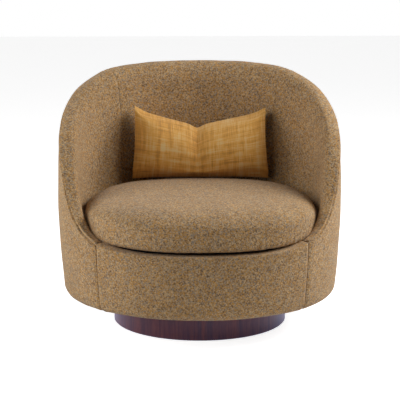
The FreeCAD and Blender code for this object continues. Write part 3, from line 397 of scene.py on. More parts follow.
def points_of(obj):
    """Points of a mesh as an array."""
    flat = np.empty(len(obj.data.vertices) * 3, np.float32)
    obj.data.vertices.foreach_get("co", flat)
    return flat.reshape(-1, 3).astype(float)


def set_points(obj, points):
    """Puts the points of a mesh where the array says."""
    obj.data.vertices.foreach_set("co", packed(points))
    obj.data.update()


def apply_modifiers(obj):
    """Replaces the mesh by what its modifiers make of it."""
    graph = bpy.context.evaluated_depsgraph_get()
    made = bpy.data.meshes.new_from_object(obj.evaluated_get(graph), preserve_all_data_layers=True, depsgraph=graph)
    old = obj.data
    obj.modifiers.clear()
    obj.data = made
    bpy.data.meshes.remove(old)
    obj.data.name = obj.name


def weld(obj, distance, *others):
    """Takes in the other meshes, merges points that lie together, and makes all faces point outwards."""
    mesh = bmesh.new()
    for piece in (obj, *others):
        mesh.from_mesh(piece.data)
    bmesh.ops.remove_doubles(mesh, verts=mesh.verts, dist=distance)
    bmesh.ops.recalc_face_normals(mesh, faces=mesh.faces)
    mesh.to_mesh(obj.data)
    mesh.free()
    for piece in others:
        bpy.data.objects.remove(piece)


def smoothed(obj):
    """Subdivides a mesh once, and returns its points."""
    smooth = obj.modifiers.new("smooth", "SUBSURF")
    smooth.levels = smooth.render_levels = 1
    apply_modifiers(obj)
    obj.data.shade_smooth()
    return points_of(obj)


def swell(obj, cap, pressure=4.0, stiffness=15.0, bending=0.5, frames=20):
    """Lets a closed cloth swell under inner pressure with no gravity, each point held within cap of its start."""
    scene = bpy.context.scene
    start = points_of(obj)
    cloth = obj.modifiers.new("swell", "CLOTH")
    settings = cloth.settings
    settings.use_pressure = True
    settings.uniform_pressure_force = pressure
    settings.tension_stiffness = settings.compression_stiffness = stiffness
    settings.bending_stiffness = bending
    settings.effector_weights.gravity = 0
    cloth.point_cache.frame_start = 1
    cloth.point_cache.frame_end = frames
    for step in range(1, frames + 1):
        scene.frame_set(step)
    graph = bpy.context.evaluated_depsgraph_get()
    flat = np.empty(len(start) * 3, np.float32)
    obj.evaluated_get(graph).data.vertices.foreach_get("co", flat)
    moved = flat.reshape(-1, 3) - start
    far = np.linalg.norm(moved, axis=1, keepdims=True)
    obj.modifiers.remove(cloth)
    set_points(obj, start + moved * np.minimum(1, cap / np.maximum(far, 1e-9)))
    scene.frame_set(1)


# Materials

def feed(node, inputs):
    """Sets a node's inputs: a socket or a node's first output is linked, and anything else is the value."""
    for key, value in inputs.items():
        if isinstance(value, bpy.types.Node):
            value = value.outputs[0]
        if isinstance(value, bpy.types.NodeSocket):
            node.id_data.links.new(value, node.inputs[key])
        else:
            node.inputs[key].default_value = value


def add_node(tree, kind, inputs=None, stops=(), **settings):
    """Adds a shader node with its settings, its inputs, and its colour stops if it has any: hex codes or colours."""
    new = tree.nodes.new("ShaderNode" + kind)
    for name, value in settings.items():
        setattr(new, name, value)
    if stops:
        while len(new.color_ramp.elements) < len(stops):
            new.color_ramp.elements.new(1)
        for element, (place, value) in zip(new.color_ramp.elements, stops):
            element.position = place
            element.color = linear(value) if isinstance(value, str) else value
    feed(new, inputs or {})
    return new


def new_material(name):
    """Empty node material: returns it, its Principled shader and what adds a node to it."""
    material = bpy.data.materials.new(name)
    material.use_nodes = True
    material.node_tree.nodes.clear()
    add = partial(add_node, material.node_tree)
    shader = add("BsdfPrincipled")
    add("OutputMaterial", {"Surface": shader})
    return material, shader, add


def streaks(add, place, sizes, detail, roughness=0.6, distortion=0.0, shift=(0, 0, 0)):
    """Noise drawn out to streaks: sizes are a streak's millimetres along the three axes."""
    lie = add("Mapping", {"Vector": place, "Location": shift, "Scale": [1 / (mm * MM) for mm in sizes]})
    return add("TexNoise", {"Vector": lie, "Scale": 1.0, "Detail": detail, "Roughness": roughness,
                            "Distortion": distortion})


def threads(add, weave, spacing, operation, wobble):
    """Warp and weft: waves both ways, a thread spacing apart, added or multiplied."""
    warp, weft = (add("TexWave", {"Vector": weave, "Scale": 1 / spacing / 10 * math.pi, **wobble},
                      bands_direction=way).outputs["Fac"] for way in "XY")
    return add("Math", {0: warp, 1: weft}, operation=operation)


def dress(add, shader, colour, height, depth, strength, grain, roughness, grain_range=(0, 1), **inputs):
    """Gives the shader its colour, a bump of a depth in metres, a roughness that goes with the grain, and inputs."""
    bump = add("Bump", {"Height": height, "Distance": depth, "Strength": strength})
    rough = add("MapRange", {"Value": grain, "From Min": grain_range[0], "From Max": grain_range[1],
                             "To Min": roughness[0], "To Max": roughness[1]})
    feed(shader, {"Base Color": colour, "Normal": bump, "Roughness": rough})
    feed(shader, {name.replace("_", " "): value for name, value in inputs.items()})


def melange_tweed():
    """Melange tweed of wool-blend yarn: soft, dull and flecked in four yarn colours."""
    bit, loop, thread, fibre, patch = 3.6 * MM, 4.5 * MM, 2.2 * MM, 1.8 * MM, 110 * MM
    colours = bpy.context.scene.chair_colours
    material, shader, add = new_material("Melange tweed")
    place = add("TexCoord").outputs["Object"]
    # Each cell, a bit of yarn, takes one of the four yarns.
    bits = add("TexVoronoi", {"Vector": place, "Scale": 1 / bit, "Randomness": 1.0})
    pick = add("SeparateColor", {"Color": bits.outputs["Color"]})
    yarn = add("ValToRGB", {"Fac": pick}, stops=((0, colours.tweed_ochre), (0.34, colours.tweed_tan),
                                                 (0.6, colours.tweed_taupe), (0.82, colours.tweed_brown)))
    yarn.color_ramp.interpolation = "CONSTANT"
    # Loops of yarn pull neighbouring bits towards one shade, so flecks gather in small clumps.
    blur = add("TexNoise", {"Vector": place, "Scale": 1 / loop, "Detail": 2.0, "Roughness": 0.6})
    tone = add("ValToRGB", {"Fac": blur}, stops=((0.34, colours.tweed_brown), (0.45, colours.tweed_taupe),
                                                 (0.55, colours.tweed_ochre), (0.66, colours.tweed_tan)))
    mixed = add("Mix", {0: 0.5, 6: yarn, 7: tone}, data_type="RGBA")
    broad = add("TexNoise", {"Vector": place, "Scale": 1 / patch, "Detail": 3.0})
    shade = add("MapRange", {"Value": broad, "From Min": 0.3, "From Max": 0.7, "To Min": 0.94, "To Max": 1.06})
    shaded = add("VectorMath", {0: mixed.outputs[2], "Scale": shade}, operation="SCALE")
    # The bump rides on the threads and on the fibres of their nap.
    weave = threads(add, add("UVMap", uv_map="weave"), thread, "MULTIPLY",
                    {"Distortion": 1.5, "Detail": 2.0, "Detail Scale": 1.5})
    nap = add("TexNoise", {"Vector": place, "Scale": 1 / fibre, "Detail": 3.0})
    height = add("Math", {0: weave, 1: nap}, operation="ADD")
    dress(add, shader, shaded, height, 0.8 * MM, 0.55, nap, (0.82, 0.98), Sheen_Weight=0.12, Sheen_Roughness=0.5,
          Specular_IOR_Level=0.2)
    return material


def slub_linen():
    """Slub linen in mustard: a plain weave whose thick and thin threads make a cross-hatched plaid."""
    thread, slub, band = 1.6 * MM, (2.6, 60), (17, 190)
    colours = bpy.context.scene.chair_colours
    material, shader, add = new_material("Slub linen")
    weave = add("UVMap", uv_map="weave")
    # Slubs, and bands of like threads, both ways of the cloth: each has a width and a run in millimetres.
    noises = []
    for across, along in ((0, 1), (1, 0)):
        for width, run in (slub, band):
            sizes = [0, 0, 1000]
            sizes[across], sizes[along] = width, run
            noises.append(streaks(add, weave, sizes, 2.0, shift=(width * across, width * along, 0)))
    fine = add("Math", {0: noises[0], 1: noises[2]}, operation="ADD")
    wide = add("Math", {0: noises[1], 1: noises[3]}, operation="ADD")
    total = add("Math", {0: fine, 1: wide}, operation="ADD")
    # The four noises add up to about 2, and stray by 0.25 either way.
    share = add("MapRange", {"Value": total, "From Min": 1.5, "From Max": 2.5})
    yarn = add("ValToRGB", {"Fac": share}, stops=((0.16, colours.linen_umber), (0.5, colours.linen_gold),
                                                  (0.84, colours.linen_straw)))
    plain = threads(add, weave, thread, "ADD", {"Distortion": 0.6})
    height = add("Math", {0: plain, 1: fine}, operation="ADD")
    dress(add, shader, yarn, height, 0.5 * MM, 0.5, fine, (0.7, 0.9), (0.7, 1.3), Sheen_Weight=0.15)
    return material


def stained_walnut():
    """Walnut veneer, stained dark and lacquered satin, its figure upright round the drum."""
    colours = bpy.context.scene.chair_colours
    material, shader, add = new_material("Stained walnut")
    place = add("TexCoord").outputs["Object"]
    # Figure is 14 mm wide and runs the height of the drum; pores are 0.9 mm wide and 25 mm long.
    figure = streaks(add, place, (14, 14, 220), 5.0, distortion=0.6)
    pores = streaks(add, place, (0.9, 0.9, 25), 2.0, roughness=0.5)
    tone = add("ValToRGB", {"Fac": figure}, stops=((0.32, colours.stain), (0.75, colours.stain_light)))
    dark = add("MapRange", {"Value": pores, "From Min": 0.3, "From Max": 0.6, "To Min": 0.6, "To Max": 1.0})
    base = add("VectorMath", {0: tone, "Scale": dark}, operation="SCALE")
    # A thin lacquer; its specular tint paints a cool blue cast into the reflections, as painted reflection colour.
    dress(add, shader, base, pores, 0.2 * MM, 0.2, figure, (0.28, 0.42), Coat_Weight=0.1, Coat_Roughness=0.25,
          Specular_Tint=linear("#CBD6F6"))
    return material


def grained(name, light, dark, roughness, width, run, metallic=0.0, relief=0.1, direction=2):
    """Finish with streaks of one width and run along an axis, between two colours: board, brushed metal or cloth."""
    material, shader, add = new_material(name)
    sizes = [width] * 3
    sizes[direction] = run
    noise = streaks(add, add("TexCoord").outputs["Object"], sizes, 4.0)
    tone = add("ValToRGB", {"Fac": noise}, stops=((0.35, dark), (0.65, light)))
    dress(add, shader, tone, noise, relief * MM, 0.5, noise, (roughness - 0.08, roughness + 0.08), Metallic=metallic)
    return material


def make_materials():
    """One material for each material slot of the record. Widths, runs and reliefs are in millimetres."""
    colours = bpy.context.scene.chair_colours
    return {
        "upholstery_fabric": melange_tweed(),
        "pillow_fabric": slub_linen(),
        "stained_wood": stained_walnut(),
        # Birch plywood, sawn and unfinished: pale with long flat grain.
        "plywood": grained("Birch plywood", colours.plywood, "#A88450", 0.7, 6, 140, direction=0),
        # Hardboard: brown pressed fibre with no direction.
        "fibreboard": grained("Hardboard", "#8A6844", "#6A4C30", 0.8, 2, 2),
        # Polyester wadding: white, matted and fluffy.
        "padding": grained("Polyester wadding", "#F2EEE4", "#DCD6C8", 0.95, 4, 4, relief=1),
        # Polyurethane foam: cream with open cells.
        "cushion_foam": grained("Cushion foam", "#EFE0B4", "#D8C48E", 0.95, 1.5, 1.5, relief=0.6),
        # Feather and fibre: off-white, soft and lumpy.
        "pillow_filling": grained("Feather and fibre", "#F4F2EC", "#DDDAD0", 0.95, 5, 5, relief=1),
        # Spunbonded polypropylene: thin black cloth with a fine dotted emboss.
        "lining_cloth": grained("Spunbonded cloth", "#24221F", "#121110", 0.85, 1.2, 1.2, relief=0.3),
        # Moulded nylon: black and half matt.
        "glide_plastic": grained("Moulded nylon", "#2A2A2A", "#1A1A1A", 0.5, 2, 2, relief=0.05),
        # Zinc-plated pressed steel: bluish grey with rolling streaks.
        "plated_steel": grained("Zinc plated steel", colours.zinc, "#8E9290", 0.38, 1.5, 60, metallic=1.0, relief=0.03,
                                direction=0),
        # Turned and cold-headed steel: bright with fine tool marks.
        "bright_steel": grained("Bright steel", "#C8C8C8", "#9C9C9C", 0.3, 0.8, 12, metallic=1.0, relief=0.02),
        # Oil-tempered spring wire: dark and smooth.
        "spring_steel": grained("Oiled spring steel", "#77787C", "#4C4D52", 0.35, 1, 25, metallic=1.0, relief=0.02,
                                direction=0),
        # Nylon zip tape and coil: brown and ribbed.
        "zip_plastic": grained("Nylon zip", "#6B5536", "#4A3A24", 0.55, 1.1, 3, relief=0.3),
    }


MATERIALS = {}


def finish_piece(obj, body, slot, *replaced):
    """Gives a piece its material and slot, lets it ride on its body, and takes the place of frame nodes."""
    obj.data.materials.clear()
    obj.data.materials.append(MATERIALS[slot])
    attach(obj, body)
    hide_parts(*replaced)


# Upholstered body

# Sewn seams: depth and width of the dip, and height of the gathers beside it.
RIM_SEAM = (8 * MM, 3.2 * MM, 0.3 * MM)
SIDE_SEAM = (1.9 * MM, 5.5 * MM, 0.3 * MM)
RAIL_SEAM = (4 * MM, 5.5 * MM, 0.5 * MM)
BACK_SEAM = (1.4 * MM, 3 * MM, 0.8 * MM)
GATHER_SPACING = 17 * MM
GATHER_REACH = 14 * MM
CALM_EDGE = 30 * MM
# Stretches of the section that both outer panels begin with.
HEM_AND_EDGE = ((hem_rows, 5), (edge_rows, 10))


def seamed_panel(name, angles, radius, stretches, seed, seams, swell_height=0.6 * MM):
    """Panel of cloth over padding: the body's grid pushed along its normals by seams, gathers and gentle swells.

    seams gives the seam of each sewn side: start, end, low or high. Offsets are measured from it along the cloth.
    UV in metres is the plan angle times the radius across, and the distance along the section up."""
    points = body_grid(angles, *stretches)
    along, up = run_along(points, 0), run_along(points, 1)
    weave = np.stack((np.radians(angles)[:, None] * radius + 0 * up, up), axis=-1)
    distances = {"start": (along, up), "end": (along[-1:] - along, up),
                 "low": (up, along), "high": (up[:, -1:] - up, along)}
    edge = np.minimum.reduce([distances[side][0] for side in seams])
    offset = unevenness(points, swell_height, seed) * (1 - np.exp(-(edge / CALM_EDGE) ** 2))
    for number, (side, (depth, width, gather)) in enumerate(seams.items()):
        distance, run = distances[side]
        offset = (offset + groove(distance, depth, width)
                  + gathers(distance, run, gather, GATHER_SPACING, GATHER_REACH, seed + number))
    obj = grid_object(name, points + normals_of(points) * offset[..., None], weave)
    thicken(obj, bpy.context.scene.chair_body.cloth)
    return obj


class CHAIR_OT_outside_cover(bpy.types.Operator):
    """Outside cover: tweed from the hem under the body up to the rim seam"""
    bl_idname = "chair.outside_cover"
    bl_label = "Outside cover"

    def execute(self, context):
        size = context.scene.chair_body
        angles = crowded(size.front_seam, 360 - size.front_seam, 280)
        stretches = (*HEM_AND_EDGE, (wall_rows, crowded(0, 1, 80, low=False)))
        obj = seamed_panel("outside_cloth", angles, size.half_width, stretches, 3,
                           {"high": RIM_SEAM, "start": SIDE_SEAM, "end": SIDE_SEAM})
        finish_piece(obj, "chair_body", "upholstery_fabric", "outside_cover")
        return {"FINISHED"}


class CHAIR_OT_front_cover(bpy.types.Operator):
    """Front rail cover: the panel across the front, turned in over the rail"""
    bl_idname = "chair.front_cover"
    bl_label = "Front rail cover"

    def execute(self, context):
        size = context.scene.chair_body
        angles = crowded(-size.front_seam, size.front_seam, 150)
        stretches = (*HEM_AND_EDGE, (wall_rows, 36), (roll_rows, 12), (tuck_rows, 6))
        obj = seamed_panel("front_rail_cloth", angles, size.half_width, stretches, 11,
                           {"start": RAIL_SEAM, "end": RAIL_SEAM})
        finish_piece(obj, "chair_body", "upholstery_fabric", "front_rail_cover", "front_rail_padding")
        return {"FINISHED"}


class CHAIR_OT_inside_covers(bpy.types.Operator):
    """Inside covers of the two arms and the back, from the rim seam over the crest down to the deck"""
    bl_idname = "chair.inside_covers"
    bl_label = "Inside covers"

    def execute(self, context):
        size = context.scene.chair_body
        front, back = size.front_seam, size.back_seam_angle
        covers = (("arm_cloth_right", front, back, "inside_arm_cover_right", "arm_padding_right"),
                  ("arm_cloth_left", 360 - back, 360 - front, "inside_arm_cover_left", "arm_padding_left"),
                  ("back_cloth", back, 360 - back, "inside_back_cover", "back_padding"))
        stretches = ((roll_rows, crowded(0, 1, 22, high=False)), (shoulder_rows, 26), (inner_rows, 36))
        for seed, (name, first, last, *nodes) in enumerate(covers, start=21):
            obj = seamed_panel(name, crowded(first, last, 130), size.well_half_width, stretches, seed,
                               {"low": RIM_SEAM, "start": BACK_SEAM, "end": BACK_SEAM}, swell_height=0.8 * MM)
            finish_piece(obj, "chair_body", "upholstery_fabric", *nodes)
        return {"FINISHED"}


# Seat deck and dust cloth

RING_ANGLES = np.linspace(0, 360, 181)[:-1]
# Quilting of the deck in millimetres: spacing of its rings and width of a sewn line.
QUILT_SPACING = 90
QUILT_LINE = 4
QUILT_DEPTH = 1.2 * MM
# Clearance of the deck from the inside covers, and of the dust cloth from the hem above it.
DECK_GAP, DUST_GAP = 1 * MM, 0.2 * MM
DUST_CLOTH, DUST_SAG = 0.5 * MM, 0.5 * MM


class CHAIR_OT_deck(bpy.types.Operator):
    """Seat deck: a thin pad under black cloth, quilted in rings"""
    bl_idname = "chair.deck"
    bl_label = "Seat deck"

    def execute(self, context):
        low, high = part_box("deck_pad")[0][2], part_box("deck_cover")[1][2]
        # Plan outline: the seat well's oval, held inside the front rail's turned-in cloth.
        section = body_section(RING_ANGLES)
        rim = (np.minimum(section.well, section.crest_radius - section.size.tuck) - DECK_GAP)[:, None]
        thick = high - low
        # Side profile: a half oval between the lower and the upper face, then both faces run to the middle.
        turn = np.linspace(-math.pi / 2, math.pi / 2, 13)[None, :]
        side_radius = rim - thick / 2 + thick / 2 * np.cos(turn)
        side_height = (low + high) / 2 + thick / 2 * np.sin(turn) + 0 * rim
        shares = np.linspace(1, 0, 40)[None, 1:]
        top_radius = (rim - thick / 2) * shares
        ring = top_radius * 1000 % QUILT_SPACING
        quilt = -QUILT_DEPTH * np.exp(-((ring - QUILT_SPACING / 2) / QUILT_LINE) ** 2)
        bottom_radius = (rim - thick / 2) * shares[:, ::-1]
        radius = np.concatenate((bottom_radius, side_radius, top_radius), axis=1)
        height = np.concatenate((low + 0 * bottom_radius, side_height, high + quilt), axis=1)
        points = around(np.radians(RING_ANGLES)[:, None], radius, height)
        obj = grid_object("deck_platform", points, plan_uv(points), closed=True)
        weld(obj, 0.01 * MM)
        finish_piece(obj, "chair_body", "lining_cloth", "deck_cover", "deck_pad")
        return {"FINISHED"}


class CHAIR_OT_dust_cloth(bpy.types.Operator):
    """Dust cloth under the body, stapled round its rim"""
    bl_idname = "chair.dust_cloth"
    bl_label = "Dust cloth"

    def execute(self, context):
        size = context.scene.chair_body
        outer = body_section(RING_ANGLES).foot_radius - size.edge - size.hem + size.dust_overlap
        angles = np.radians(RING_ANGLES)[:, None]
        shares = np.linspace(0, 1, 24)[None, :]
        radius = outer[:, None] + (size.dust_hole - outer[:, None]) * shares
        # It sags between its two edges, in waves round the ring.
        sag = DUST_SAG * np.sin(math.pi * shares) * (1 + 0.6 * np.sin(9 * angles + 1) + 0.4 * np.sin(23 * angles))
        points = around(angles, radius, size.bottom - DUST_GAP - sag)
        # The first direction runs with the angle and the second inwards, so the grid is turned over to face down.
        obj = grid_object("dust_cloth", points[:, ::-1], plan_uv(points)[:, ::-1], closed=True)
        obj.data.flip_normals()
        thicken(obj, DUST_CLOTH)
        finish_piece(obj, "chair_body", "lining_cloth", "dust_cover")
        return {"FINISHED"}


# Cushions

# Section of the seat cushion from the middle of its crown round to the middle of its underside: share of the half
# width and share of the height.
CUSHION_SHARES = ((0, 1), (0.18, 1), (0.415, 0.99), (0.615, 0.965), (0.78, 0.91), (0.89, 0.83), (0.956, 0.72),
                  (0.989, 0.58), (1, 0.4), (1.004, 0.22), (0.998, 0.09), (0.965, 0.01), (0.9, 0), (0.5, 0), (0, 0))
WIDEST_SHARE = 0.4
CUSHION_SLENDERNESS = 0.37
CUSHION_SWELL = 6 * MM
PILLOW_SWELL = 14 * MM
# The seat cushion beyond its half width at the left and at the right, and below its cover's highest point.
CUSHION_LEFT, CUSHION_RIGHT, CUSHION_CREST = 1 * MM, 3 * MM, 3 * MM
# Height share of the lower seam, and plan angle in radians of its deepest gathers, to the front right.
LOWER_SEAM_SHARE = 0.12
DEEP_GATHERS = 0.7
# Height, spacing and reach of those gathers, and how far the seam draws the cloth in.
CUSHION_GATHERS = (1.2 * MM, 24 * MM, 22 * MM)
SEAM_DRAW = 0.8 * MM


def cushion_profile(count):
    """Smooth profile through the section's shares, by distance along it."""
    places, heights = np.array(CUSHION_SHARES).T
    run = np.concatenate(([0], np.cumsum(np.hypot(np.diff(places), np.diff(heights) * CUSHION_SLENDERNESS))))
    steps = np.linspace(0, run[-1], count)
    return eased(list(zip(run, places)), steps), eased(list(zip(run, heights)), steps)


class CHAIR_OT_seat_cushion(bpy.types.Operator):
    """Loose seat cushion: crowned, with full rounded sides, swollen as cloth and gathered at its lower seam"""
    bl_idname = "chair.seat_cushion"
    bl_label = "Seat cushion"

    def execute(self, context):
        size = context.scene.chair_cushions
        low, high = (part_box("seat_cushion_cover")[side][2] for side in (0, 1))
        tall = high - low
        centre = (size.back - size.front) / 2
        half = np.array((size.half_width, (size.back + size.front) / 2))
        place, level = cushion_profile(120)
        angles = np.radians(np.linspace(0, 360, 241)[:-1])[:, None]
        # Squared oval whose power grows from the widest line up to the crown, a swell's height inside its cover.
        rise = np.clip((level - WIDEST_SHARE) / (1 - WIDEST_SHARE), 0, 1)
        corner = size.corner + (size.crown_corner - size.corner) * rise
        reach = (np.abs(np.sin(angles) / (half[0] - CUSHION_SWELL)) ** (1 / corner)
                 + np.abs(np.cos(angles) / (half[1] - CUSHION_SWELL)) ** (1 / corner)) ** -corner * place
        points = around(angles, reach, low + 1 * MM + (tall - CUSHION_SWELL) * level + 0 * angles)
        points[..., 1] += centre
        obj = grid_object("seat_cushion_soft", points, plan_uv(points), closed=True)
        weld(obj, 0.1 * MM)
        remesh = obj.modifiers.new("even", "REMESH")
        remesh.mode = "VOXEL"
        remesh.voxel_size = size.voxel
        apply_modifiers(obj)
        swell(obj, CUSHION_SWELL)
        points = smoothed(obj)
        # Back to its sewn size, which the swelling drew in; it lies a little to the right.
        least, most = points.min(axis=0), points.max(axis=0)
        sewn_low = np.array((-half[0] - CUSHION_LEFT, -size.front, low))
        sewn_high = np.array((half[0] + CUSHION_RIGHT, size.back, high - CUSHION_CREST))
        points = sewn_low + (points - least) * (sewn_high - sewn_low) / (most - least)
        # Gathers rise from the lower seam, which draws the cloth in, and fade above it and under the cushion.
        x, y, z = points.T
        across, along = x / half[0], (y - centre) / half[1]
        turn, out = np.arctan2(across, -along), np.hypot(across, along)
        above = (z - low) / tall
        wave = gathers(np.abs(above - LOWER_SEAM_SHARE) * tall, turn * half[0], *CUSHION_GATHERS, 5)
        wave *= 1 + 1.2 * np.exp(-((turn - DEEP_GATHERS) / 0.3) ** 2)
        wave = (wave - SEAM_DRAW) * np.clip((out - 0.8) / 0.15, 0, 1) * np.clip(1.2 - above * 2, 0, 1)
        x += np.sin(turn) * wave
        y -= np.cos(turn) * wave
        set_points(obj, points)
        # The cloth runs as one piece over the crown and down the sides: distance from the middle, by direction.
        run = out * half[0] + (high - z)
        loops = np.empty(len(obj.data.loops), np.int32)
        obj.data.loops.foreach_get("vertex_index", loops)
        uv = np.stack((run * np.sin(turn), -run * np.cos(turn)), axis=-1)
        layer = obj.data.uv_layers.get("weave") or obj.data.uv_layers.new(name="weave")
        layer.data.foreach_set("uv", packed(uv[loops]))
        finish_piece(obj, "seat_cushion", "upholstery_fabric", "seat_cushion_cover", "seat_cushion_core")
        return {"FINISHED"}


# Each pair is a share of the half width and the share that the pillow has there of its chop or its thickness, or the
# share of the thickness that lies behind the middle.
PILLOW_TOP_SHARES = ((0, 0), (0.05, 0.07), (0.14, 0.2), (0.3, 0.34), (0.55, 0.53), (0.75, 0.69), (0.88, 0.84),
                     (0.95, 0.95), (1, 1))
PILLOW_THICK_SHARES = ((0, 0.86), (0.2, 1), (0.5, 0.98), (0.75, 0.8), (0.9, 0.5), (0.97, 0.25), (1, 0.06))
PILLOW_BACK_SHARES = ((0, 0.5), (0.5, 0.42), (0.7, 0.34), (1, 0.3))
# The pillow before its swell: thickness share, draw of the sides at mid height, and half its sewn edge.
SLACK_SHARE = 0.86
WAIST = 0.05
SEWN_RIM = 1.0 * MM
# The fold below the chop, the droop of the lower corners, the sag of the right tip, and the gap to the seat below.
FOLD_DEPTH, FOLD_WIDTH = 4 * MM, 7 * MM
CORNER_DROOP = 5 * MM
TIP_SAG = 0.02
PILLOW_GAP = 0.3 * MM
# Width share at the pillow's foot, and what it loses up to the tips.
FOOT_SHARE, TAPER = 1.02, 0.035


class CHAIR_OT_pillow(bpy.types.Operator):
    """Loose lumbar pillow: two sheets sewn round their edge, swollen as cloth, with a dented top edge"""
    bl_idname = "chair.pillow"
    bl_label = "Lumbar pillow"

    def execute(self, context):
        size = context.scene.chair_cushions
        across = np.linspace(-1, 1, 73)[:, None]
        up = np.linspace(0, 1, 45)[None, :]
        width, height = size.pillow_width, size.pillow_height
        top = height - size.pillow_chop * (1 - eased(PILLOW_TOP_SHARES, np.abs(across)))
        z = top * up
        x = width / 2 * across * (1 - WAIST * (4 * up * (1 - up)) * np.abs(across) ** 3)
        # Side view: a lens, fullest just below the middle.
        lens = np.sin(math.pi * up ** 0.92) ** 0.7
        thick = size.pillow_thick * eased(PILLOW_THICK_SHARES, np.abs(across)) * lens * SLACK_SHARE
        back = eased(PILLOW_BACK_SHARES, np.abs(across))
        front = np.stack((x, -thick * (1 - back) - SEWN_RIM, z), axis=-1)
        rear = np.stack((x, thick * back + SEWN_RIM, z), axis=-1)
        cut = np.stack((width / 2 * across + 0 * up, height * up + 0 * across), axis=-1)
        obj = grid_object("lumbar_pillow_soft", front, cut)
        weld(obj, 2.2 * SEWN_RIM, grid_object("pillow_rear", rear[:, ::-1], cut[:, ::-1]))
        swell(obj, PILLOW_SWELL, pressure=3.0)
        x, y, z = smoothed(obj).T
        # Back to its sewn size, which the swelling drew in, a little wider at the foot than at the tips.
        x = x * (width / 2 / np.abs(x).max())
        z = (z - z.min()) * height / np.ptp(z)
        up = z / height
        x *= FOOT_SHARE - TAPER * up
        out = x / (width / 2)
        # The fold below the chop: a short soft line. The right tip sags, as a pillow does that was leant on.
        fold = FOLD_DEPTH * np.exp(-(x / FOLD_WIDTH) ** 2) * np.clip(up * 1.35, 0, 1) ** 8
        y = y + np.where(y < 0, fold, -fold)
        z -= up ** 2 * x * TIP_SAG
        # Both ends are drawn out, the right one more, and the lower corners droop.
        x += (11 * np.abs(out) + 6 * out - 3) * MM
        z -= CORNER_DROOP * np.clip(np.abs(out), 0, 1) ** 4 * np.clip(1 - 2 * up, 0, 1)
        lean = math.radians(size.pillow_lean)
        back = y * math.cos(lean) + z * math.sin(lean) + size.back - size.pillow_set_in
        rise = z * math.cos(lean) - y * math.sin(lean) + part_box("pillow_zip")[1][2] + PILLOW_GAP
        set_points(obj, np.stack((x, back, rise), axis=-1))
        finish_piece(obj, "lumbar_pillow", "pillow_fabric", "pillow_cover", "pillow_insert")
        return {"FINISHED"}


class CHAIR_OT_frame_finishes(bpy.types.Operator):
    """Finishes of the timber, springs, swivel and plinth"""
    bl_idname = "chair.frame_finishes"
    bl_label = "Frame finishes"

    def execute(self, context):
        for part in frame["record"]["subparts"]:
            obj = frame["nodes"][part["node"]]
            for place in obj.material_slots:
                place.material = MATERIALS[part["material_slot"]]
        return {"FINISHED"}


# Studio

# Half the floor's side in metres, its strength for the camera and in reflections, and the world's on the chair.
FLOOR_HALF = 9
FLOOR_GLOW, FLOOR_SHINE = 0.86, 0.8
WORLD_FILL = 0.04
# Softboxes stand round the seat. Each has a name, a plan angle from the front to the right, an elevation and watts.
SOFTBOX_SIZE, SOFTBOX_DISTANCE = 1.3, 2.9
SOFTBOX_AIM = Vector((0, 0, 0.42))
SOFTBOXES = (("left_low_softbox", -85, 12, 30), ("left_high_softbox", -85, 38, 16),
             ("left_front_softbox", -50, 20, 11), ("right_softbox", 70, 36, 32), ("right_rear_softbox", 105, 36, 54))
# The camera's place and what it looks at were fitted to the photograph's outline; the lens is in millimetres.
CAMERA_PLACE = (-0.14, -4.997, 1.3976)
CAMERA_AIM = Vector((0.001, 0, 0.383))
CAMERA_LENS = 145.8


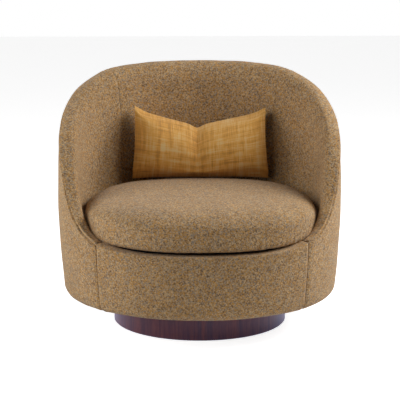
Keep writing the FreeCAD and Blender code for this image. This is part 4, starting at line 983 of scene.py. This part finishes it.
class CHAIR_OT_stage(bpy.types.Operator):
    """Studio: pale floor, softboxes at both sides, and the camera"""
    bl_idname = "chair.stage"
    bl_label = "Studio"

    def execute(self, context):
        scene = context.scene
        x, y = np.meshgrid(*[np.linspace(-FLOOR_HALF, FLOOR_HALF, 3)] * 2, indexing="ij")
        points = np.stack((x, y, 0 * x), axis=-1)
        floor = grid_object("studio_floor", points, points[..., :2])
        material, shader, add = new_material("Painted floor")
        place = add("TexCoord").outputs["Object"]
        speck = add("TexNoise", {"Vector": place, "Scale": 1 / (300 * MM), "Detail": 3.0})
        tone = add("ValToRGB", {"Fac": speck}, stops=((0.3, "#EDEDED"), (0.7, scene.chair_colours.floor)))
        feed(shader, {"Base Color": tone, "Roughness": 0.9, "Specular IOR Level": 0.1})
        rays = add("LightPath").outputs
        # Lifted nearly to white where the camera sees it, so that only the shadow stays, and cool in reflections.
        glow = add("Emission", {"Strength": FLOOR_GLOW})
        cool = add("Emission", {"Color": linear("#C4D2FF"), "Strength": FLOOR_SHINE})
        lift = add("MixShader", {0: rays["Is Camera Ray"], 2: glow})
        shine = add("MixShader", {0: rays["Is Glossy Ray"], 1: lift, 2: cool})
        added = add("AddShader", {0: shader, 1: shine})
        feed(material.node_tree.nodes["Material Output"], {"Surface": added})
        floor.data.materials.append(material)

        # A faint white world lights the chair, and the camera, gloss and glass see it as plain white.
        world = bpy.data.worlds.new("Studio")
        scene.world = world
        world.use_nodes = True
        world.node_tree.nodes.clear()
        add = partial(add_node, world.node_tree)
        rays = add("LightPath").outputs
        seen = add("Math", {0: rays["Is Camera Ray"], 1: rays["Is Glossy Ray"]}, operation="MAXIMUM")
        seen = add("Math", {0: seen, 1: rays["Is Transmission Ray"]}, operation="MAXIMUM")
        fill, white = (add("Background", {"Color": (1, 1, 1, 1), "Strength": power}) for power in (WORLD_FILL, 1.0))
        add("OutputWorld", {"Surface": add("MixShader", {0: seen, 1: fill, 2: white})})

        for name, turn, rise, power in SOFTBOXES:
            lamp = bpy.data.lights.new(name, "AREA")
            lamp.shape = "SQUARE"
            lamp.size, lamp.energy = SOFTBOX_SIZE, power
            obj = bpy.data.objects.new(name, lamp)
            scene.collection.objects.link(obj)
            turn, rise = math.radians(turn), math.radians(rise)
            way = Vector((math.sin(turn) * math.cos(rise), -math.cos(turn) * math.cos(rise), math.sin(rise)))
            obj.location = SOFTBOX_AIM + SOFTBOX_DISTANCE * way
            obj.rotation_euler = (-way).to_track_quat("-Z", "Y").to_euler()

        camera = bpy.data.cameras.new("camera")
        camera.sensor_width = 36
        camera.lens = CAMERA_LENS
        camera.clip_end = 60
        obj = bpy.data.objects.new("camera", camera)
        scene.collection.objects.link(obj)
        obj.location = CAMERA_PLACE
        obj.rotation_euler = (CAMERA_AIM - obj.location).to_track_quat("-Z", "Y").to_euler()
        scene.camera = obj
        scene.view_settings.view_transform = "Standard"
        return {"FINISHED"}


OPERATORS = (CHAIR_OT_outside_cover, CHAIR_OT_front_cover, CHAIR_OT_inside_covers, CHAIR_OT_deck,
             CHAIR_OT_dust_cloth, CHAIR_OT_seat_cushion, CHAIR_OT_pillow, CHAIR_OT_frame_finishes, CHAIR_OT_stage)


class CHAIR_PT_panel(bpy.types.Panel):
    """Lists the chair's pieces and their settings"""
    bl_idname = "CHAIR_PT_panel"
    bl_label = "Barrel Swivel Chair"
    bl_space_type = "VIEW_3D"
    bl_region_type = "UI"
    bl_category = "Chair"

    def draw(self, context):
        column = self.layout.column()
        for operator in OPERATORS:
            column.operator(operator.bl_idname)
        for group in (context.scene.chair_body, context.scene.chair_cushions, context.scene.chair_colours):
            for name in group.__annotations__:
                column.prop(group, name)


CLASSES = (ChairBody, ChairCushions, ChairColours) + OPERATORS + (CHAIR_PT_panel,)
GROUPS = {"chair_body": ChairBody, "chair_cushions": ChairCushions, "chair_colours": ChairColours}


def register():
    for item in CLASSES:
        bpy.utils.register_class(item)
    for name, group in GROUPS.items():
        setattr(bpy.types.Scene, name, PointerProperty(type=group))


def unregister():
    for name in GROUPS:
        delattr(bpy.types.Scene, name)
    for item in reversed(CLASSES):
        bpy.utils.unregister_class(item)


def main():
    register()
    MATERIALS.update(make_materials())
    for operator in OPERATORS:
        group, name = operator.bl_idname.split(".")
        getattr(getattr(bpy.ops, group), name)()


if __name__ == "__main__":
    main()
